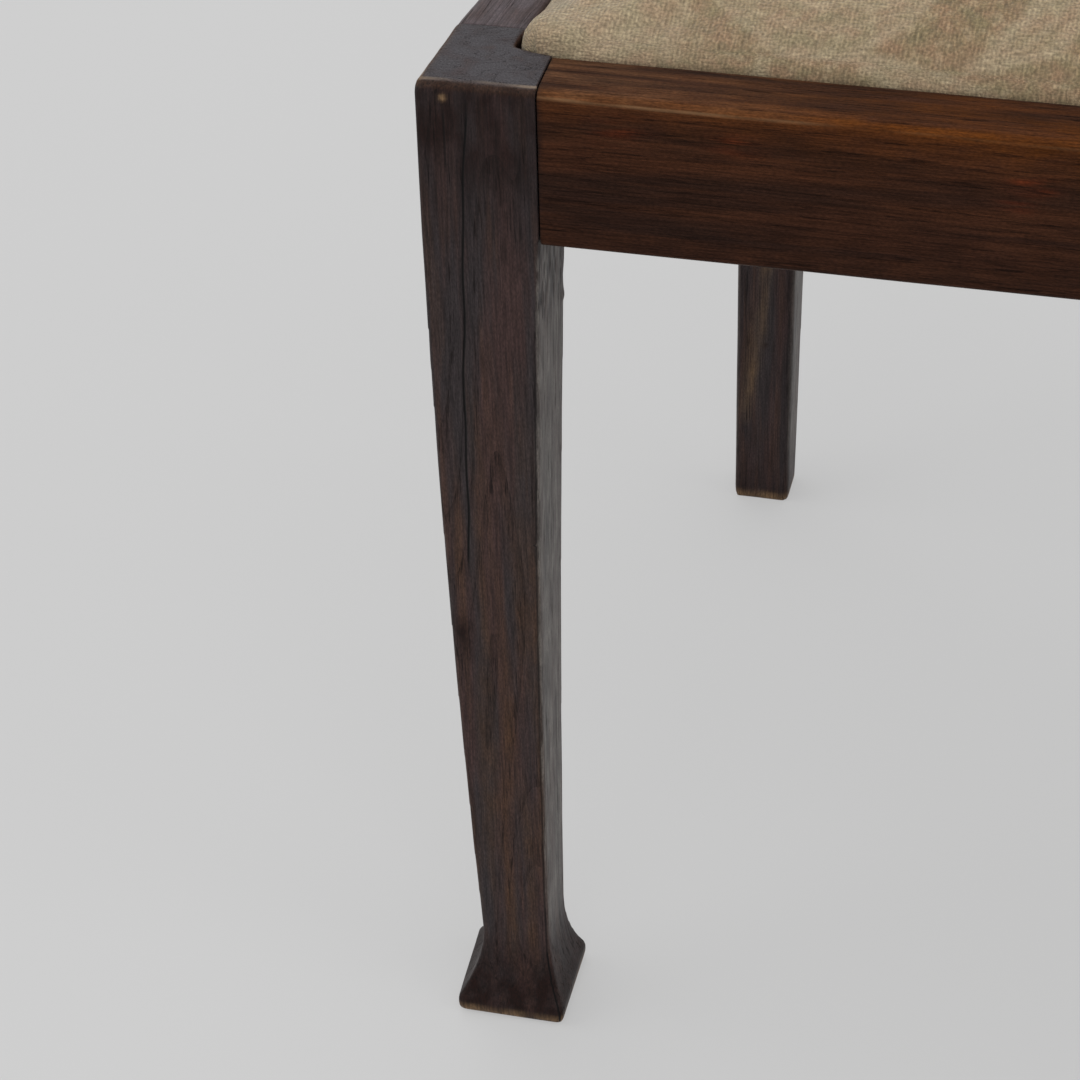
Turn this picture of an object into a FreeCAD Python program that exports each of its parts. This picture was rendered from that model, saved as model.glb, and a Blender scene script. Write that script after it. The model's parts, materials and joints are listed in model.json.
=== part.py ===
import FreeCAD
import Part
import math
import os

# Oak dining chair with a lift-out upholstered seat. Millimetres, +Z up, the front faces -Y.
# The model is drawn with y = 0 on the front face of the front legs, then moved so that the
# origin lies on the floor in the middle of the chair's footprint.

Vec = FreeCAD.Vector

# Front legs: a square blank sawn to a curved taper from two faces, ending in a flared foot
FRONT_WIDTH = 470.0
SEAT_HEIGHT = 451.0
LEG_SIZE = 44.0
LEG_OUTER_ANGLE = 5.0
FOOT_OUTER_ANGLE = -2.0
FOOT_SPREAD = 1.0
FOOT_EDGE = 8.0
ANKLE_HEIGHT = 42.0
TAPER_MIDDLE = 220.0
OUTER_ANKLE_INSET = 8.9
OUTER_MIDDLE_INSET = 2.4
INNER_ANKLE_INSET = 6.0
INNER_MIDDLE_INSET = 4.3
DEPTH_ANKLE_INSET = 7.5
DEPTH_MIDDLE_INSET = 3.3
LEG_ARRIS = 1.5
JOINT_ARRIS = 0.4
JOINT_ARRIS_RUN = 3.0
LEG_TOP_ROUND = 3.5
FOOT_ROUND = 4.0
ROUND_STEPS = 3
FLARE_STEPS = 5
TAPER_STEPS = 7

# Seat rails: one section all round, rebated inside so that the seat drops in
RAIL_HEIGHT = 63.0
RAIL_LIP = 26.0
REBATE_WIDTH = 10.0
REBATE_DEPTH = 25.0
RAIL_TOP_ROUND = 3.5
SIDE_RAIL_SET_IN = 1.0
JOINT_LINE = 0.6
SIDE_JOINT_LINE = 0.15
TENON_THICK = 9.0
TENON_SHOULDER_LOW = 6.0
TENON_SHOULDER_TOP = 19.0
FRONT_TENON_SET_IN = 8.0
FRONT_TENON_LENGTH = 27.0
SIDE_TENON_SET_IN = 11.0
SIDE_TENON_LENGTH = 22.0
POST_TENON_LENGTH = 14.0
BACK_TENON_SET_IN = 1.5
BACK_TENON_LENGTH = 18.0
GLUE_GAP = 0.1
NOTCH_INNER = 14.7
NOTCH_AT_CORNER = 31.0
NOTCH_AT_RAIL = 26.6

# Back posts: sawn from one plank, upright below the seat and raked above it
BACK_WIDTH = 380.6
SEAT_DEPTH = 394.0
POST_FOOT_WIDTH = 28.0
POST_SEAT_WIDTH = 31.0
POST_TOP_WIDTH = 26.0
POST_FOOT_DEPTH = 24.0
POST_SEAT_DEPTH = 40.0
POST_TOP_DEPTH = 22.0
POST_LENGTH_ABOVE = 520.0
RAKE_START = 475.0
RAKE_ANGLE = 7.5
RAKE_RADIUS = 420.0
POST_ARRIS = 1.5
POST_TOP_ROUND = 6.0

# Back panel, measured along the raked posts from the point where the rake starts
BACK_SET_IN = 4.0
CREST_HEIGHT = 82.0
CREST_RISE = 16.0
CREST_THICK = 16.0
CREST_DROP = 10.0
LOWER_RAIL_START = 62.0
LOWER_RAIL_HEIGHT = 42.0
LOWER_RAIL_RISE = 9.0
LOWER_RAIL_THICK = 15.0
BACK_RAIL_TENON = 14.0
BACK_TENON_SHOULDER = 5.0
SPLAT_TOP_WIDTH = 124.0
SPLAT_LOW_WIDTH = 98.0
SLAT_WIDTH = 36.0
SLAT_CENTRE = 108.0
SLAT_THICK = 8.0
SLAT_TENON = 9.0
EDGE_ROUND = 2.0

# Corner blocks and their screws
BLOCK_LENGTH = 52.0
BLOCK_HEIGHT = 28.0
BLOCK_TOP_DROP = 7.0
BLOCK_LAND = 18.0
SCREW_RADIUS = 2.0
SCREW_HEAD_RADIUS = 4.0
SCREW_HEAD_HEIGHT = 2.4
SCREW_GRIP = 16.0
SCREW_BITE = 14.0
SCREW_SIDES = 10

# Lift-out seat: beech frame, webbing, hessian, stuffing, cover and dust cloth
SEAT_GAP = 1.0
SEAT_FRONT_CORNER = 4.0
SEAT_FRONT_TURN = 8.0
SEAT_BACK_CORNER = 12.0
SHORTEST_CUT = 3.0
SEAT_REST_GAP = 0.3
LAYER_GAP = 0.1
COVER_THICK = 1.0
COVER_TUCK = 22.0
SEAT_FRAME_WIDTH = 46.0
SEAT_FRAME_THICK = 18.0
DOWEL_RADIUS = 4.0
DOWEL_LENGTH = 36.0
DOWEL_SPACING = 22.0
DOWEL_SIDES = 8
WEBBING_WIDTH = 50.0
WEBBING_THICK = 1.5
WEBBING_PITCH = 84.0
WEBBING_LAP = 32.0
HESSIAN_THICK = 0.8
HESSIAN_INSET = 8.0
PAD_EDGE = 8.0
PAD_CROWN = 14.0
RIM_DROP = 6.0
RIM_SHOULDER = 2.0
RIM_REACH = 10.0
RIM_RISE = 4.0
CROWN_MARGIN = 3.0
CROWN_POINTS = 6
DUST_CLOTH_THICK = 0.7
DUST_CLOTH_INSET = 19.0
TACK_HEAD_RADIUS = 2.8
TACK_HEAD_HEIGHT = 0.6
TACK_SHANK = 1.4
TACK_LENGTH = 5.8
TACK_TIP_SHARE = 0.2
TACK_PITCH = 62.0
COVER_TACK_INSET = 14.0
DUST_TACK_INSET = 27.0
WEBBING_TACK_SPACING = 16.0
WEBBING_TACK_INSET = 22.0

# Places worked out from the sizes above
LEG_OUT = -FRONT_WIDTH / 2
LEG_IN = LEG_OUT + LEG_SIZE
RAIL_LOW = SEAT_HEIGHT - RAIL_HEIGHT
RAIL_THICK = RAIL_LIP + REBATE_WIDTH
LEDGE = SEAT_HEIGHT - REBATE_DEPTH
TENON_LOW = RAIL_LOW + TENON_SHOULDER_LOW
TENON_TOP = SEAT_HEIGHT - TENON_SHOULDER_TOP
POST_OUT = -BACK_WIDTH / 2
POST_IN = POST_OUT + POST_SEAT_WIDTH
BACK_RAIL_FRONT = SEAT_DEPTH - REBATE_WIDTH
BLOCK_TOP = LEDGE - BLOCK_TOP_DROP
BLOCK_LOW = BLOCK_TOP - BLOCK_HEIGHT
COVER_LOW = LEDGE + SEAT_REST_GAP
FRAME_LOW = COVER_LOW + COVER_THICK + LAYER_GAP
FRAME_TOP = FRAME_LOW + SEAT_FRAME_THICK
WEBBING_STEP = WEBBING_THICK + LAYER_GAP
HESSIAN_LOW = FRAME_TOP + 2 * WEBBING_STEP + LAYER_GAP
PAD_LOW = HESSIAN_LOW + HESSIAN_THICK + LAYER_GAP
RAKE = math.radians(RAKE_ANGLE)
FAR = 2000.0
MOSTLY_ALONG = 0.8

parts = {}


# Helpers for outlines and solids
def box(x0, x1, y0, y1, z0, z1):
    return Part.makeBox(x1 - x0, y1 - y0, z1 - z0, Vec(x0, y0, z0))


def mirrored(shape):
    return shape.mirror(Vec(0, 0, 0), Vec(1, 0, 0))


def line(a, b):
    return Part.LineSegment(a, b).toShape()


def arc(a, b, c):
    return Part.Arc(a, b, c).toShape()


def prism(points, direction):
    return Part.Face(Part.makePolygon(points + points[:1])).extrude(direction)


def rounded_loop(corners, radii):
    """A closed wire through flat corner points, each turned by an arc of its own radius."""
    edges = []
    starts = []
    ends = []
    middles = []
    count = len(corners)
    for i, corner in enumerate(corners):
        back = (corners[i - 1] - corner).normalize()
        ahead = (corners[(i + 1) % count] - corner).normalize()
        half = back.getAngle(ahead) / 2
        reach = radii[i] / math.tan(half)
        inward = (back + ahead).normalize()
        starts.append(corner + back * reach)
        ends.append(corner + ahead * reach)
        middles.append(corner + inward * (radii[i] / math.sin(half) - radii[i]))
    for i in range(count):
        if radii[i] > 0:
            edges.append(arc(starts[i], middles[i], ends[i]))
        edges.append(line(ends[i], starts[(i + 1) % count]))
    return Part.Wire(edges)


def parallel(a, b):
    return a.tangentAt(a.FirstParameter).cross(b.tangentAt(b.FirstParameter)).Length < 1e-9


def lofted(loops):
    """A solid through level loops of lines and arcs, with flat faces between parallel lines."""
    faces = [Part.Face(loops[0]), Part.Face(loops[-1])]
    for low, high in zip(loops, loops[1:]):
        for a, b in zip(low.OrderedEdges, high.OrderedEdges):
            if isinstance(a.Curve, Part.Line) and parallel(a, b):
                ends = [a.Vertexes[0].Point, a.Vertexes[1].Point, b.Vertexes[1].Point, b.Vertexes[0].Point]
                faces.append(Part.Face(Part.makePolygon(ends + ends[:1])))
            else:
                faces.append(Part.makeRuledSurface(a, b))
    shell = Part.Compound(faces)
    shell.sewShape()
    return Part.Solid(shell.Shells[0])


def faceted(place, direction, near_radius, far_radius, length, sides):
    """A many-sided stub along a direction, tapering from one radius to the other."""
    across = direction.cross(Vec(0, 0, 1)) if abs(direction.z) < 0.5 else Vec(1, 0, 0)
    across.normalize()
    second = direction.cross(across)
    rings = []
    for centre, radius in ((place, near_radius), (place + direction * length, far_radius)):
        turns = [2 * math.pi * (i + 0.5) / sides for i in range(sides)]
        ring = [centre + (across * math.cos(t) + second * math.sin(t)) * radius for t in turns]
        rings.append(Part.makePolygon(ring + ring[:1]))
    return Part.makeLoft(rings, True, True)


def upright_edges(solid):
    """The edges that run mostly along Z."""
    chosen = []
    for edge in solid.Edges:
        middle = edge.tangentAt((edge.FirstParameter + edge.LastParameter) / 2)
        if abs(middle.z) > MOSTLY_ALONG:
            chosen.append(edge)
    return chosen


# Front leg
def leg_inset(z, middle, ankle):
    """How far a face of the leg lies inside its blank at this height."""
    if z >= RAIL_LOW:
        return 0
    if z >= ANKLE_HEIGHT:
        rise = (z - ANKLE_HEIGHT) / (RAIL_LOW - ANKLE_HEIGHT)
        half = (TAPER_MIDDLE - ANKLE_HEIGHT) / (RAIL_LOW - ANKLE_HEIGHT)
        straight = ankle * (1 - rise)
        bow = (middle - ankle * (1 - half)) / (half * (1 - half))
        return straight + bow * rise * (1 - rise)
    spread = ankle + FOOT_SPREAD
    drop = ANKLE_HEIGHT - FOOT_EDGE
    radius = (spread ** 2 + drop ** 2) / (2 * spread)
    fall = ANKLE_HEIGHT - max(z, FOOT_EDGE)
    return ankle - radius + math.sqrt(radius ** 2 - fall ** 2)


def outer_turn(z):
    """How far the outer face is turned in at this height, in degrees: less and less as the foot flares."""
    spread = OUTER_ANKLE_INSET + FOOT_SPREAD
    left = leg_inset(min(z, ANKLE_HEIGHT), OUTER_MIDDLE_INSET, OUTER_ANKLE_INSET) + FOOT_SPREAD
    return FOOT_OUTER_ANGLE + (LEG_OUTER_ANGLE - FOOT_OUTER_ANGLE) * left / spread


def leg_section(z, outside, inside):
    """The leg's outline at one height, with its outer faces and its inner faces drawn in.

    The outer face is turned in, and the arrises are rounded, less so where the rails meet the leg.
    """
    depth = leg_inset(z, DEPTH_MIDDLE_INSET, DEPTH_ANKLE_INSET)
    front = depth + outside
    back = LEG_SIZE - depth - inside
    outer = LEG_OUT + leg_inset(z, OUTER_MIDDLE_INSET, OUTER_ANKLE_INSET) + outside
    inner = LEG_IN - leg_inset(z, INNER_MIDDLE_INSET, INNER_ANKLE_INSET) - inside
    lean = (back - front) * math.tan(math.radians(outer_turn(z)))
    corners = [Vec(outer, front, z), Vec(inner, front, z), Vec(inner, back, z), Vec(outer + lean, back, z)]
    jointed = JOINT_ARRIS if z > RAIL_LOW else LEG_ARRIS
    return rounded_loop(corners, [LEG_ARRIS, jointed, jointed, LEG_ARRIS])


def steps(start, end, count):
    return [start + (end - start) * i / count for i in range(count)]


def front_leg():
    """Lofted from the foot up: rounded edge, flare, curved taper, square block, top rounded outside."""
    turns = [math.pi / 2 * i / ROUND_STEPS for i in range(ROUND_STEPS)]
    sections = []
    for t in turns:
        drawn_in = FOOT_ROUND * (1 - math.sin(t))
        sections.append(leg_section(FOOT_ROUND * (1 - math.cos(t)), drawn_in, drawn_in))
    heights = steps(FOOT_ROUND, FOOT_EDGE, 1) + steps(FOOT_EDGE, ANKLE_HEIGHT, FLARE_STEPS)
    heights += steps(ANKLE_HEIGHT, RAIL_LOW, TAPER_STEPS) + [RAIL_LOW, RAIL_LOW + JOINT_ARRIS_RUN]
    sections += [leg_section(z, 0, 0) for z in heights]
    shoulder = SEAT_HEIGHT - LEG_TOP_ROUND
    for t in turns + [math.pi / 2]:
        drawn_in = LEG_TOP_ROUND * (1 - math.cos(t))
        sections.append(leg_section(shoulder + LEG_TOP_ROUND * math.sin(t), drawn_in, 0))
    return lofted(sections)


def seat_notch():
    """The corner cut from the leg's top for the corner of the seat."""
    notch_left = LEG_IN - NOTCH_INNER
    slope = (NOTCH_AT_CORNER - NOTCH_AT_RAIL) / NOTCH_INNER
    points = [Vec(notch_left, NOTCH_AT_CORNER, LEDGE),
              Vec(LEG_IN + LEG_SIZE, NOTCH_AT_RAIL - slope * LEG_SIZE, LEDGE)]
    lean = (2 * LEG_SIZE - NOTCH_AT_CORNER) * SIDE_SLOPE
    points += [Vec(LEG_IN + LEG_SIZE, 2 * LEG_SIZE, LEDGE), Vec(notch_left + lean, 2 * LEG_SIZE, LEDGE)]
    return prism(points, Vec(0, 0, FAR))


# Seat rails
def rail_section(place):
    """The rebated section: u from the outer face inwards, z up, with a rounded outer top edge."""
    corners = [
        place(0, RAIL_LOW),
        place(RAIL_THICK, RAIL_LOW),
        place(RAIL_THICK, LEDGE),
        place(RAIL_LIP, LEDGE),
        place(RAIL_LIP, SEAT_HEIGHT),
        place(0, SEAT_HEIGHT),
    ]
    return Part.Face(rounded_loop(corners, [EDGE_ROUND, EDGE_ROUND, 0, 0, 0, RAIL_TOP_ROUND]))


def tenon_section(place, set_in, grow):
    low, high = TENON_LOW - grow, TENON_TOP + grow
    near, far = set_in - grow, set_in + TENON_THICK + grow
    return Part.Face(Part.makePolygon([place(near, low), place(far, low), place(far, high),
                                       place(near, high), place(near, low)]))


SIDE_START = Vec(LEG_OUT + LEG_SIZE * math.tan(math.radians(LEG_OUTER_ANGLE)) + SIDE_RAIL_SET_IN, LEG_SIZE, 0)
SIDE_END = Vec(POST_OUT, SEAT_DEPTH, 0)
SIDE_ALONG = (SIDE_END - SIDE_START).normalize()
SIDE_INWARD = Vec(SIDE_ALONG.y, -SIDE_ALONG.x, 0)
SIDE_SLOPE = SIDE_ALONG.x / SIDE_ALONG.y


def side_place(u, z):
    """A point of the side rail's section, well in front of its shoulder."""
    return SIDE_START - SIDE_ALONG * LEG_SIZE + SIDE_INWARD * u + Vec(0, 0, z)


def side_line(u, y):
    """The x of the line at u inwards from the side rail's outer face."""
    foot = SIDE_START + SIDE_INWARD * u
    return foot.x + (y - foot.y) * SIDE_SLOPE


def side_run(section, y0, y1):
    """A section swept along the side rail and cut square to the chair at both ends."""
    swept = section.extrude(SIDE_ALONG * (SEAT_DEPTH + LEG_SIZE))
    return swept.common(box(-FAR, FAR, y0, y1, 0, FAR))


def side_tenons(grow):
    section = tenon_section(side_place, SIDE_TENON_SET_IN, grow)
    return side_run(section, LEG_SIZE - SIDE_TENON_LENGTH - grow, SEAT_DEPTH + POST_TENON_LENGTH + grow)


def side_rail():
    gap = SIDE_JOINT_LINE
    body = side_run(rail_section(side_place), LEG_SIZE + gap, SEAT_DEPTH - gap)
    return body.fuse(side_tenons(0)).removeSplitter()


def front_tenons(grow):
    reach = LEG_IN - FRONT_TENON_LENGTH - grow
    section = tenon_section(lambda u, z: Vec(reach, u, z), FRONT_TENON_SET_IN, grow)
    return section.extrude(Vec(-2 * reach, 0, 0))


def front_rail():
    end = LEG_IN + JOINT_LINE
    body = rail_section(lambda u, z: Vec(end, u, z)).extrude(Vec(-2 * end, 0, 0))
    return body.fuse(front_tenons(0)).removeSplitter()


def back_place(x):
    back_face = BACK_RAIL_FRONT + RAIL_THICK
    return lambda u, z: Vec(x, back_face - u, z)


def back_tenons(grow):
    reach = POST_IN - BACK_TENON_LENGTH - grow
    return tenon_section(back_place(reach), BACK_TENON_SET_IN, grow).extrude(Vec(-2 * reach, 0, 0))


def back_rail():
    end = POST_IN + JOINT_LINE
    body = rail_section(back_place(end)).extrude(Vec(-2 * end, 0, 0))
    ledge_end = side_line(RAIL_THICK, SEAT_DEPTH) + JOINT_LINE
    trim = box(-FAR, ledge_end, 0, SEAT_DEPTH, 0, FAR)
    body = body.cut(trim).cut(mirrored(trim))
    return body.fuse(back_tenons(0)).removeSplitter()


# Back posts and the panel between them
def raked(shape):
    """Tip a shape drawn upright, with z = 0 where the rake starts, back along the posts."""
    moved = shape.copy()
    moved.rotate(Vec(0, 0, 0), Vec(1, 0, 0), -RAKE_ANGLE)
    moved.translate(Vec(0, SEAT_DEPTH, RAKE_START))
    return moved


def raked_point(depth, along):
    """The y and z of a point on the raked part of the post's side view."""
    y = SEAT_DEPTH + depth * math.cos(RAKE) + along * math.sin(RAKE)
    return y, RAKE_START - depth * math.sin(RAKE) + along * math.cos(RAKE)


def back_post():
    top_front = raked_point(0, POST_LENGTH_ABOVE)
    top_back = raked_point(POST_TOP_DEPTH, POST_LENGTH_ABOVE)
    side_points = [(SEAT_DEPTH, 0), (SEAT_DEPTH, RAKE_START), top_front, top_back,
                   (SEAT_DEPTH + POST_SEAT_DEPTH, RAKE_START),
                   (SEAT_DEPTH + POST_SEAT_DEPTH, RAIL_LOW), (SEAT_DEPTH + POST_FOOT_DEPTH, 0)]
    corners = [Vec(POST_OUT - POST_SEAT_WIDTH, y, z) for y, z in side_points]
    rounds = [0, RAKE_RADIUS, POST_TOP_ROUND, POST_TOP_ROUND, RAKE_RADIUS, RAKE_RADIUS, 0]
    side_view = Part.Face(rounded_loop(corners, rounds)).extrude(Vec(3 * POST_SEAT_WIDTH, 0, 0))
    inner_points = [(0, 0), (POST_FOOT_WIDTH, 0), (POST_SEAT_WIDTH, RAIL_LOW),
                    (POST_SEAT_WIDTH, RAKE_START), (POST_TOP_WIDTH, top_front[1] + POST_TOP_DEPTH),
                    (0, top_front[1] + POST_TOP_DEPTH)]
    front_view = prism([Vec(POST_OUT + u, 0, z) for u, z in inner_points], Vec(0, FAR, 0))
    post = side_view.common(front_view)
    return post.makeChamfer(POST_ARRIS, upright_edges(post))


def panel_edge(half, z, rise):
    """A long edge of a cross rail, arched where it has a rise and straight where it has none."""
    ends = Vec(half, BACK_SET_IN, z), Vec(-half, BACK_SET_IN, z)
    return arc(ends[0], Vec(0, BACK_SET_IN, z + rise), ends[1]) if rise > 0 else line(*ends)


def panel_rail(start, height, rise, thick, low_rise):
    """A cross rail of the back, drawn upright."""
    half = -(POST_IN + JOINT_LINE)
    top = start + height
    edges = [
        panel_edge(half, top, rise),
        line(Vec(-half, BACK_SET_IN, top), Vec(-half, BACK_SET_IN, start)),
        panel_edge(-half, start, low_rise),
        line(Vec(half, BACK_SET_IN, start), Vec(half, BACK_SET_IN, top)),
    ]
    rail = Part.Face(Part.Wire(edges)).extrude(Vec(0, thick, 0))
    long_edges = [e for e in rail.Edges if abs(e.tangentAt(e.FirstParameter).x) > MOSTLY_ALONG]
    return rail.makeChamfer(EDGE_ROUND, long_edges)


def panel_tenons(start, height, thick, grow):
    """The two tenons of a cross rail, reaching into the posts."""
    width = thick / 2
    low, high = start + BACK_TENON_SHOULDER - grow, start + height - BACK_TENON_SHOULDER + grow
    near = BACK_SET_IN + (thick - width) / 2 - grow
    far = BACK_SET_IN + (thick + width) / 2 + grow
    reach = POST_IN - BACK_RAIL_TENON - grow
    return box(reach, -reach, near, far, low, high)


CREST_START = POST_LENGTH_ABOVE - CREST_DROP - CREST_HEIGHT
SLAT_FRONT = BACK_SET_IN + (LOWER_RAIL_THICK - SLAT_THICK) / 2
SLAT_LOW = LOWER_RAIL_START + LOWER_RAIL_HEIGHT


def slat(centre, low_width, top_width, grow):
    """An upright of the back, with its ends let into the lower rail and the crest."""
    low, high = SLAT_LOW - SLAT_TENON - grow, CREST_START + SLAT_TENON + grow
    near = SLAT_FRONT - grow
    points = [Vec(centre - low_width / 2 - grow, near, low), Vec(centre + low_width / 2 + grow, near, low),
              Vec(centre + top_width / 2 + grow, near, high), Vec(centre - top_width / 2 - grow, near, high)]
    return prism(points, Vec(0, SLAT_THICK + 2 * grow, 0))


SLATS = {
    "centre_splat": (0, SPLAT_LOW_WIDTH, SPLAT_TOP_WIDTH),
    "side_slat_left": (-SLAT_CENTRE, SLAT_WIDTH, SLAT_WIDTH),
    "side_slat_right": (SLAT_CENTRE, SLAT_WIDTH, SLAT_WIDTH),
}


def make_back():
    crest = panel_rail(CREST_START, CREST_HEIGHT, CREST_RISE, CREST_THICK, 0)
    lower = panel_rail(LOWER_RAIL_START, LOWER_RAIL_HEIGHT, 0, LOWER_RAIL_THICK, LOWER_RAIL_RISE)
    crest = crest.fuse(panel_tenons(CREST_START, CREST_HEIGHT, CREST_THICK, 0))
    lower = lower.fuse(panel_tenons(LOWER_RAIL_START, LOWER_RAIL_HEIGHT, LOWER_RAIL_THICK, 0))
    for name, sizes in SLATS.items():
        parts[name] = raked(slat(*sizes, 0))
        pocket = slat(*sizes, GLUE_GAP)
        crest = crest.cut(pocket)
        lower = lower.cut(pocket)
    parts["crest_rail"] = raked(crest)
    parts["lower_back_rail"] = raked(lower)


def make_frame():
    leg = front_leg().cut(front_tenons(GLUE_GAP)).cut(side_tenons(GLUE_GAP)).cut(seat_notch())
    crest_hole = raked(panel_tenons(CREST_START, CREST_HEIGHT, CREST_THICK, GLUE_GAP))
    lower_hole = raked(panel_tenons(LOWER_RAIL_START, LOWER_RAIL_HEIGHT, LOWER_RAIL_THICK, GLUE_GAP))
    post = back_post().cut(side_tenons(GLUE_GAP)).cut(back_tenons(GLUE_GAP)).cut(crest_hole).cut(lower_hole)
    rail = side_rail()
    parts["front_leg_left"] = leg
    parts["front_leg_right"] = mirrored(leg)
    parts["back_post_left"] = post
    parts["back_post_right"] = mirrored(post)
    parts["front_seat_rail"] = front_rail()
    parts["back_seat_rail"] = back_rail()
    parts["side_seat_rail_left"] = rail
    parts["side_seat_rail_right"] = mirrored(rail)


# Corner blocks
def block(points):
    return prism([Vec(x, y, BLOCK_LOW) for x, y in points], Vec(0, 0, BLOCK_HEIGHT))


def front_block():
    """Fits into the front corner, cut back round the leg, with a flat land for each screw."""
    clear = JOINT_LINE
    near = RAIL_THICK + GLUE_GAP
    far = LEG_SIZE + BLOCK_LENGTH
    land = near + SCREW_GRIP - GLUE_GAP
    inner = RAIL_THICK + GLUE_GAP
    side_land = RAIL_THICK + SCREW_GRIP
    return block([
        (LEG_IN + clear, near),
        (LEG_IN + BLOCK_LENGTH, near),
        (LEG_IN + BLOCK_LENGTH, land),
        (LEG_IN + BLOCK_LENGTH - BLOCK_LAND, land),
        (side_line(side_land, far - BLOCK_LAND), far - BLOCK_LAND),
        (side_line(side_land, far), far),
        (side_line(inner, far), far),
        (side_line(inner, LEG_SIZE + clear), LEG_SIZE + clear),
        (LEG_IN + clear, LEG_SIZE + clear),
    ])


def back_block():
    near = BACK_RAIL_FRONT - GLUE_GAP
    inner = RAIL_THICK + GLUE_GAP
    corner = side_line(inner, near)
    far = near - BLOCK_LENGTH
    land = near - SCREW_GRIP + GLUE_GAP
    side_land = RAIL_THICK + SCREW_GRIP
    return block([
        (corner, near),
        (side_line(inner, far), far),
        (side_line(side_land, far), far),
        (side_line(side_land, far + BLOCK_LAND), far + BLOCK_LAND),
        (corner + BLOCK_LENGTH - BLOCK_LAND, land),
        (corner + BLOCK_LENGTH, land),
        (corner + BLOCK_LENGTH, near),
    ])


def screw(seat, direction, grow):
    """A countersunk wood screw: seat is where it enters the rail, direction the way it is driven."""
    face = seat - direction * SCREW_GRIP
    thin = SCREW_RADIUS + grow
    head = faceted(face, direction, SCREW_HEAD_RADIUS + grow, thin, SCREW_HEAD_HEIGHT, SCREW_SIDES)
    shank = faceted(face, direction, thin, thin, SCREW_GRIP + SCREW_BITE + grow, SCREW_SIDES)
    return head.fuse(shank)


def make_blocks():
    height = (BLOCK_LOW + BLOCK_TOP) / 2
    reach = BLOCK_LENGTH - BLOCK_LAND / 2
    front_y = LEG_SIZE + reach
    back_y = BACK_RAIL_FRONT - reach
    back_x = side_line(RAIL_THICK, BACK_RAIL_FRONT) + reach
    sets = {
        "front": (front_block(), [
            (Vec(LEG_IN + reach, RAIL_THICK, height), Vec(0, -1, 0), "front_seat_rail"),
            (Vec(side_line(RAIL_THICK, front_y), front_y, height), SIDE_INWARD * -1, "side_seat_rail_left")]),
        "back": (back_block(), [
            (Vec(back_x, BACK_RAIL_FRONT, height), Vec(0, 1, 0), "back_seat_rail"),
            (Vec(side_line(RAIL_THICK, back_y), back_y, height), SIDE_INWARD * -1, "side_seat_rail_left")]),
    }
    screws = []
    for end, (solid, seats) in sets.items():
        for seat, direction, rail in seats:
            hole = screw(seat, direction, GLUE_GAP)
            solid = solid.cut(hole)
            parts[rail] = parts[rail].cut(hole)
            other = rail.replace("left", "right")
            parts[other] = parts[other].cut(mirrored(hole))
            one = screw(seat, direction, 0)
            screws += [one, mirrored(one)]
        parts[f"corner_block_{end}_left"] = solid
        parts[f"corner_block_{end}_right"] = mirrored(solid)
    parts["corner_block_screws"] = Part.makeCompound(screws)


# Lift-out seat
def seat_corners(inset, z):
    """The four corners of the seat's plan, drawn in from the well by the gap and this inset."""
    u = RAIL_LIP + SEAT_GAP + inset
    front = u
    back = SEAT_DEPTH - SEAT_GAP - inset
    return [Vec(side_line(u, front), front, z), Vec(-side_line(u, front), front, z),
            Vec(-side_line(u, back), back, z), Vec(side_line(u, back), back, z)]


def corner_cut(inset, z):
    """The two points between which the seat's left front corner is cut along the leg's notch."""
    slope = (NOTCH_AT_CORNER - NOTCH_AT_RAIL) / NOTCH_INNER
    u = RAIL_LIP + SEAT_GAP + inset
    away = (SEAT_GAP + inset) * math.hypot(1, slope)
    level = NOTCH_AT_CORNER + slope * (LEG_IN - NOTCH_INNER) + away
    y = (level - slope * side_line(u, 0)) / (1 + slope * SIDE_SLOPE)
    return Vec(side_line(u, y), y, z), Vec((level - u) / slope, u, z)


def seat_loop(inset, z):
    """The seat's plan. Deep inside, where the cut would vanish, its front corners are whole."""
    front_left, front_right, back_right, back_left = seat_corners(inset, z)
    on_side, on_front = corner_cut(inset, z)
    sharp = max(SEAT_FRONT_CORNER - inset, EDGE_ROUND)
    soft = max(SEAT_FRONT_TURN - inset, EDGE_ROUND)
    back = max(SEAT_BACK_CORNER - inset, EDGE_ROUND)
    if on_front.x - on_side.x < SHORTEST_CUT:
        return rounded_loop([front_left, front_right, back_right, back_left], [sharp, sharp, back, back])
    other_front = Vec(-on_front.x, on_front.y, z)
    other_side = Vec(-on_side.x, on_side.y, z)
    corners = [on_side, on_front, other_front, other_side, back_right, back_left]
    return rounded_loop(corners, [sharp, soft, soft, sharp, back, back])


def seat_slab(inset, z0, z1):
    return Part.Face(seat_loop(inset, z0)).extrude(Vec(0, 0, z1 - z0))


def crown_surface(inset, edge):
    """The pillow-shaped top: level along the seat's four edges and highest in the middle."""
    front_left, front_right, back_right, back_left = seat_corners(inset - CROWN_MARGIN, edge)
    rows = []
    for i in range(CROWN_POINTS + 1):
        v = i / CROWN_POINTS
        left = front_left + (back_left - front_left) * v
        right = front_right + (back_right - front_right) * v
        row = []
        for j in range(CROWN_POINTS + 1):
            u = j / CROWN_POINTS
            across = 4 * u * (1 - u)
            along = 4 * v * (1 - v)
            row.append(left + (right - left) * u + Vec(0, 0, PAD_CROWN * across * along))
        rows.append(row)
    surface = Part.BSplineSurface()
    surface.interpolate(rows)
    return surface.toShape()


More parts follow.
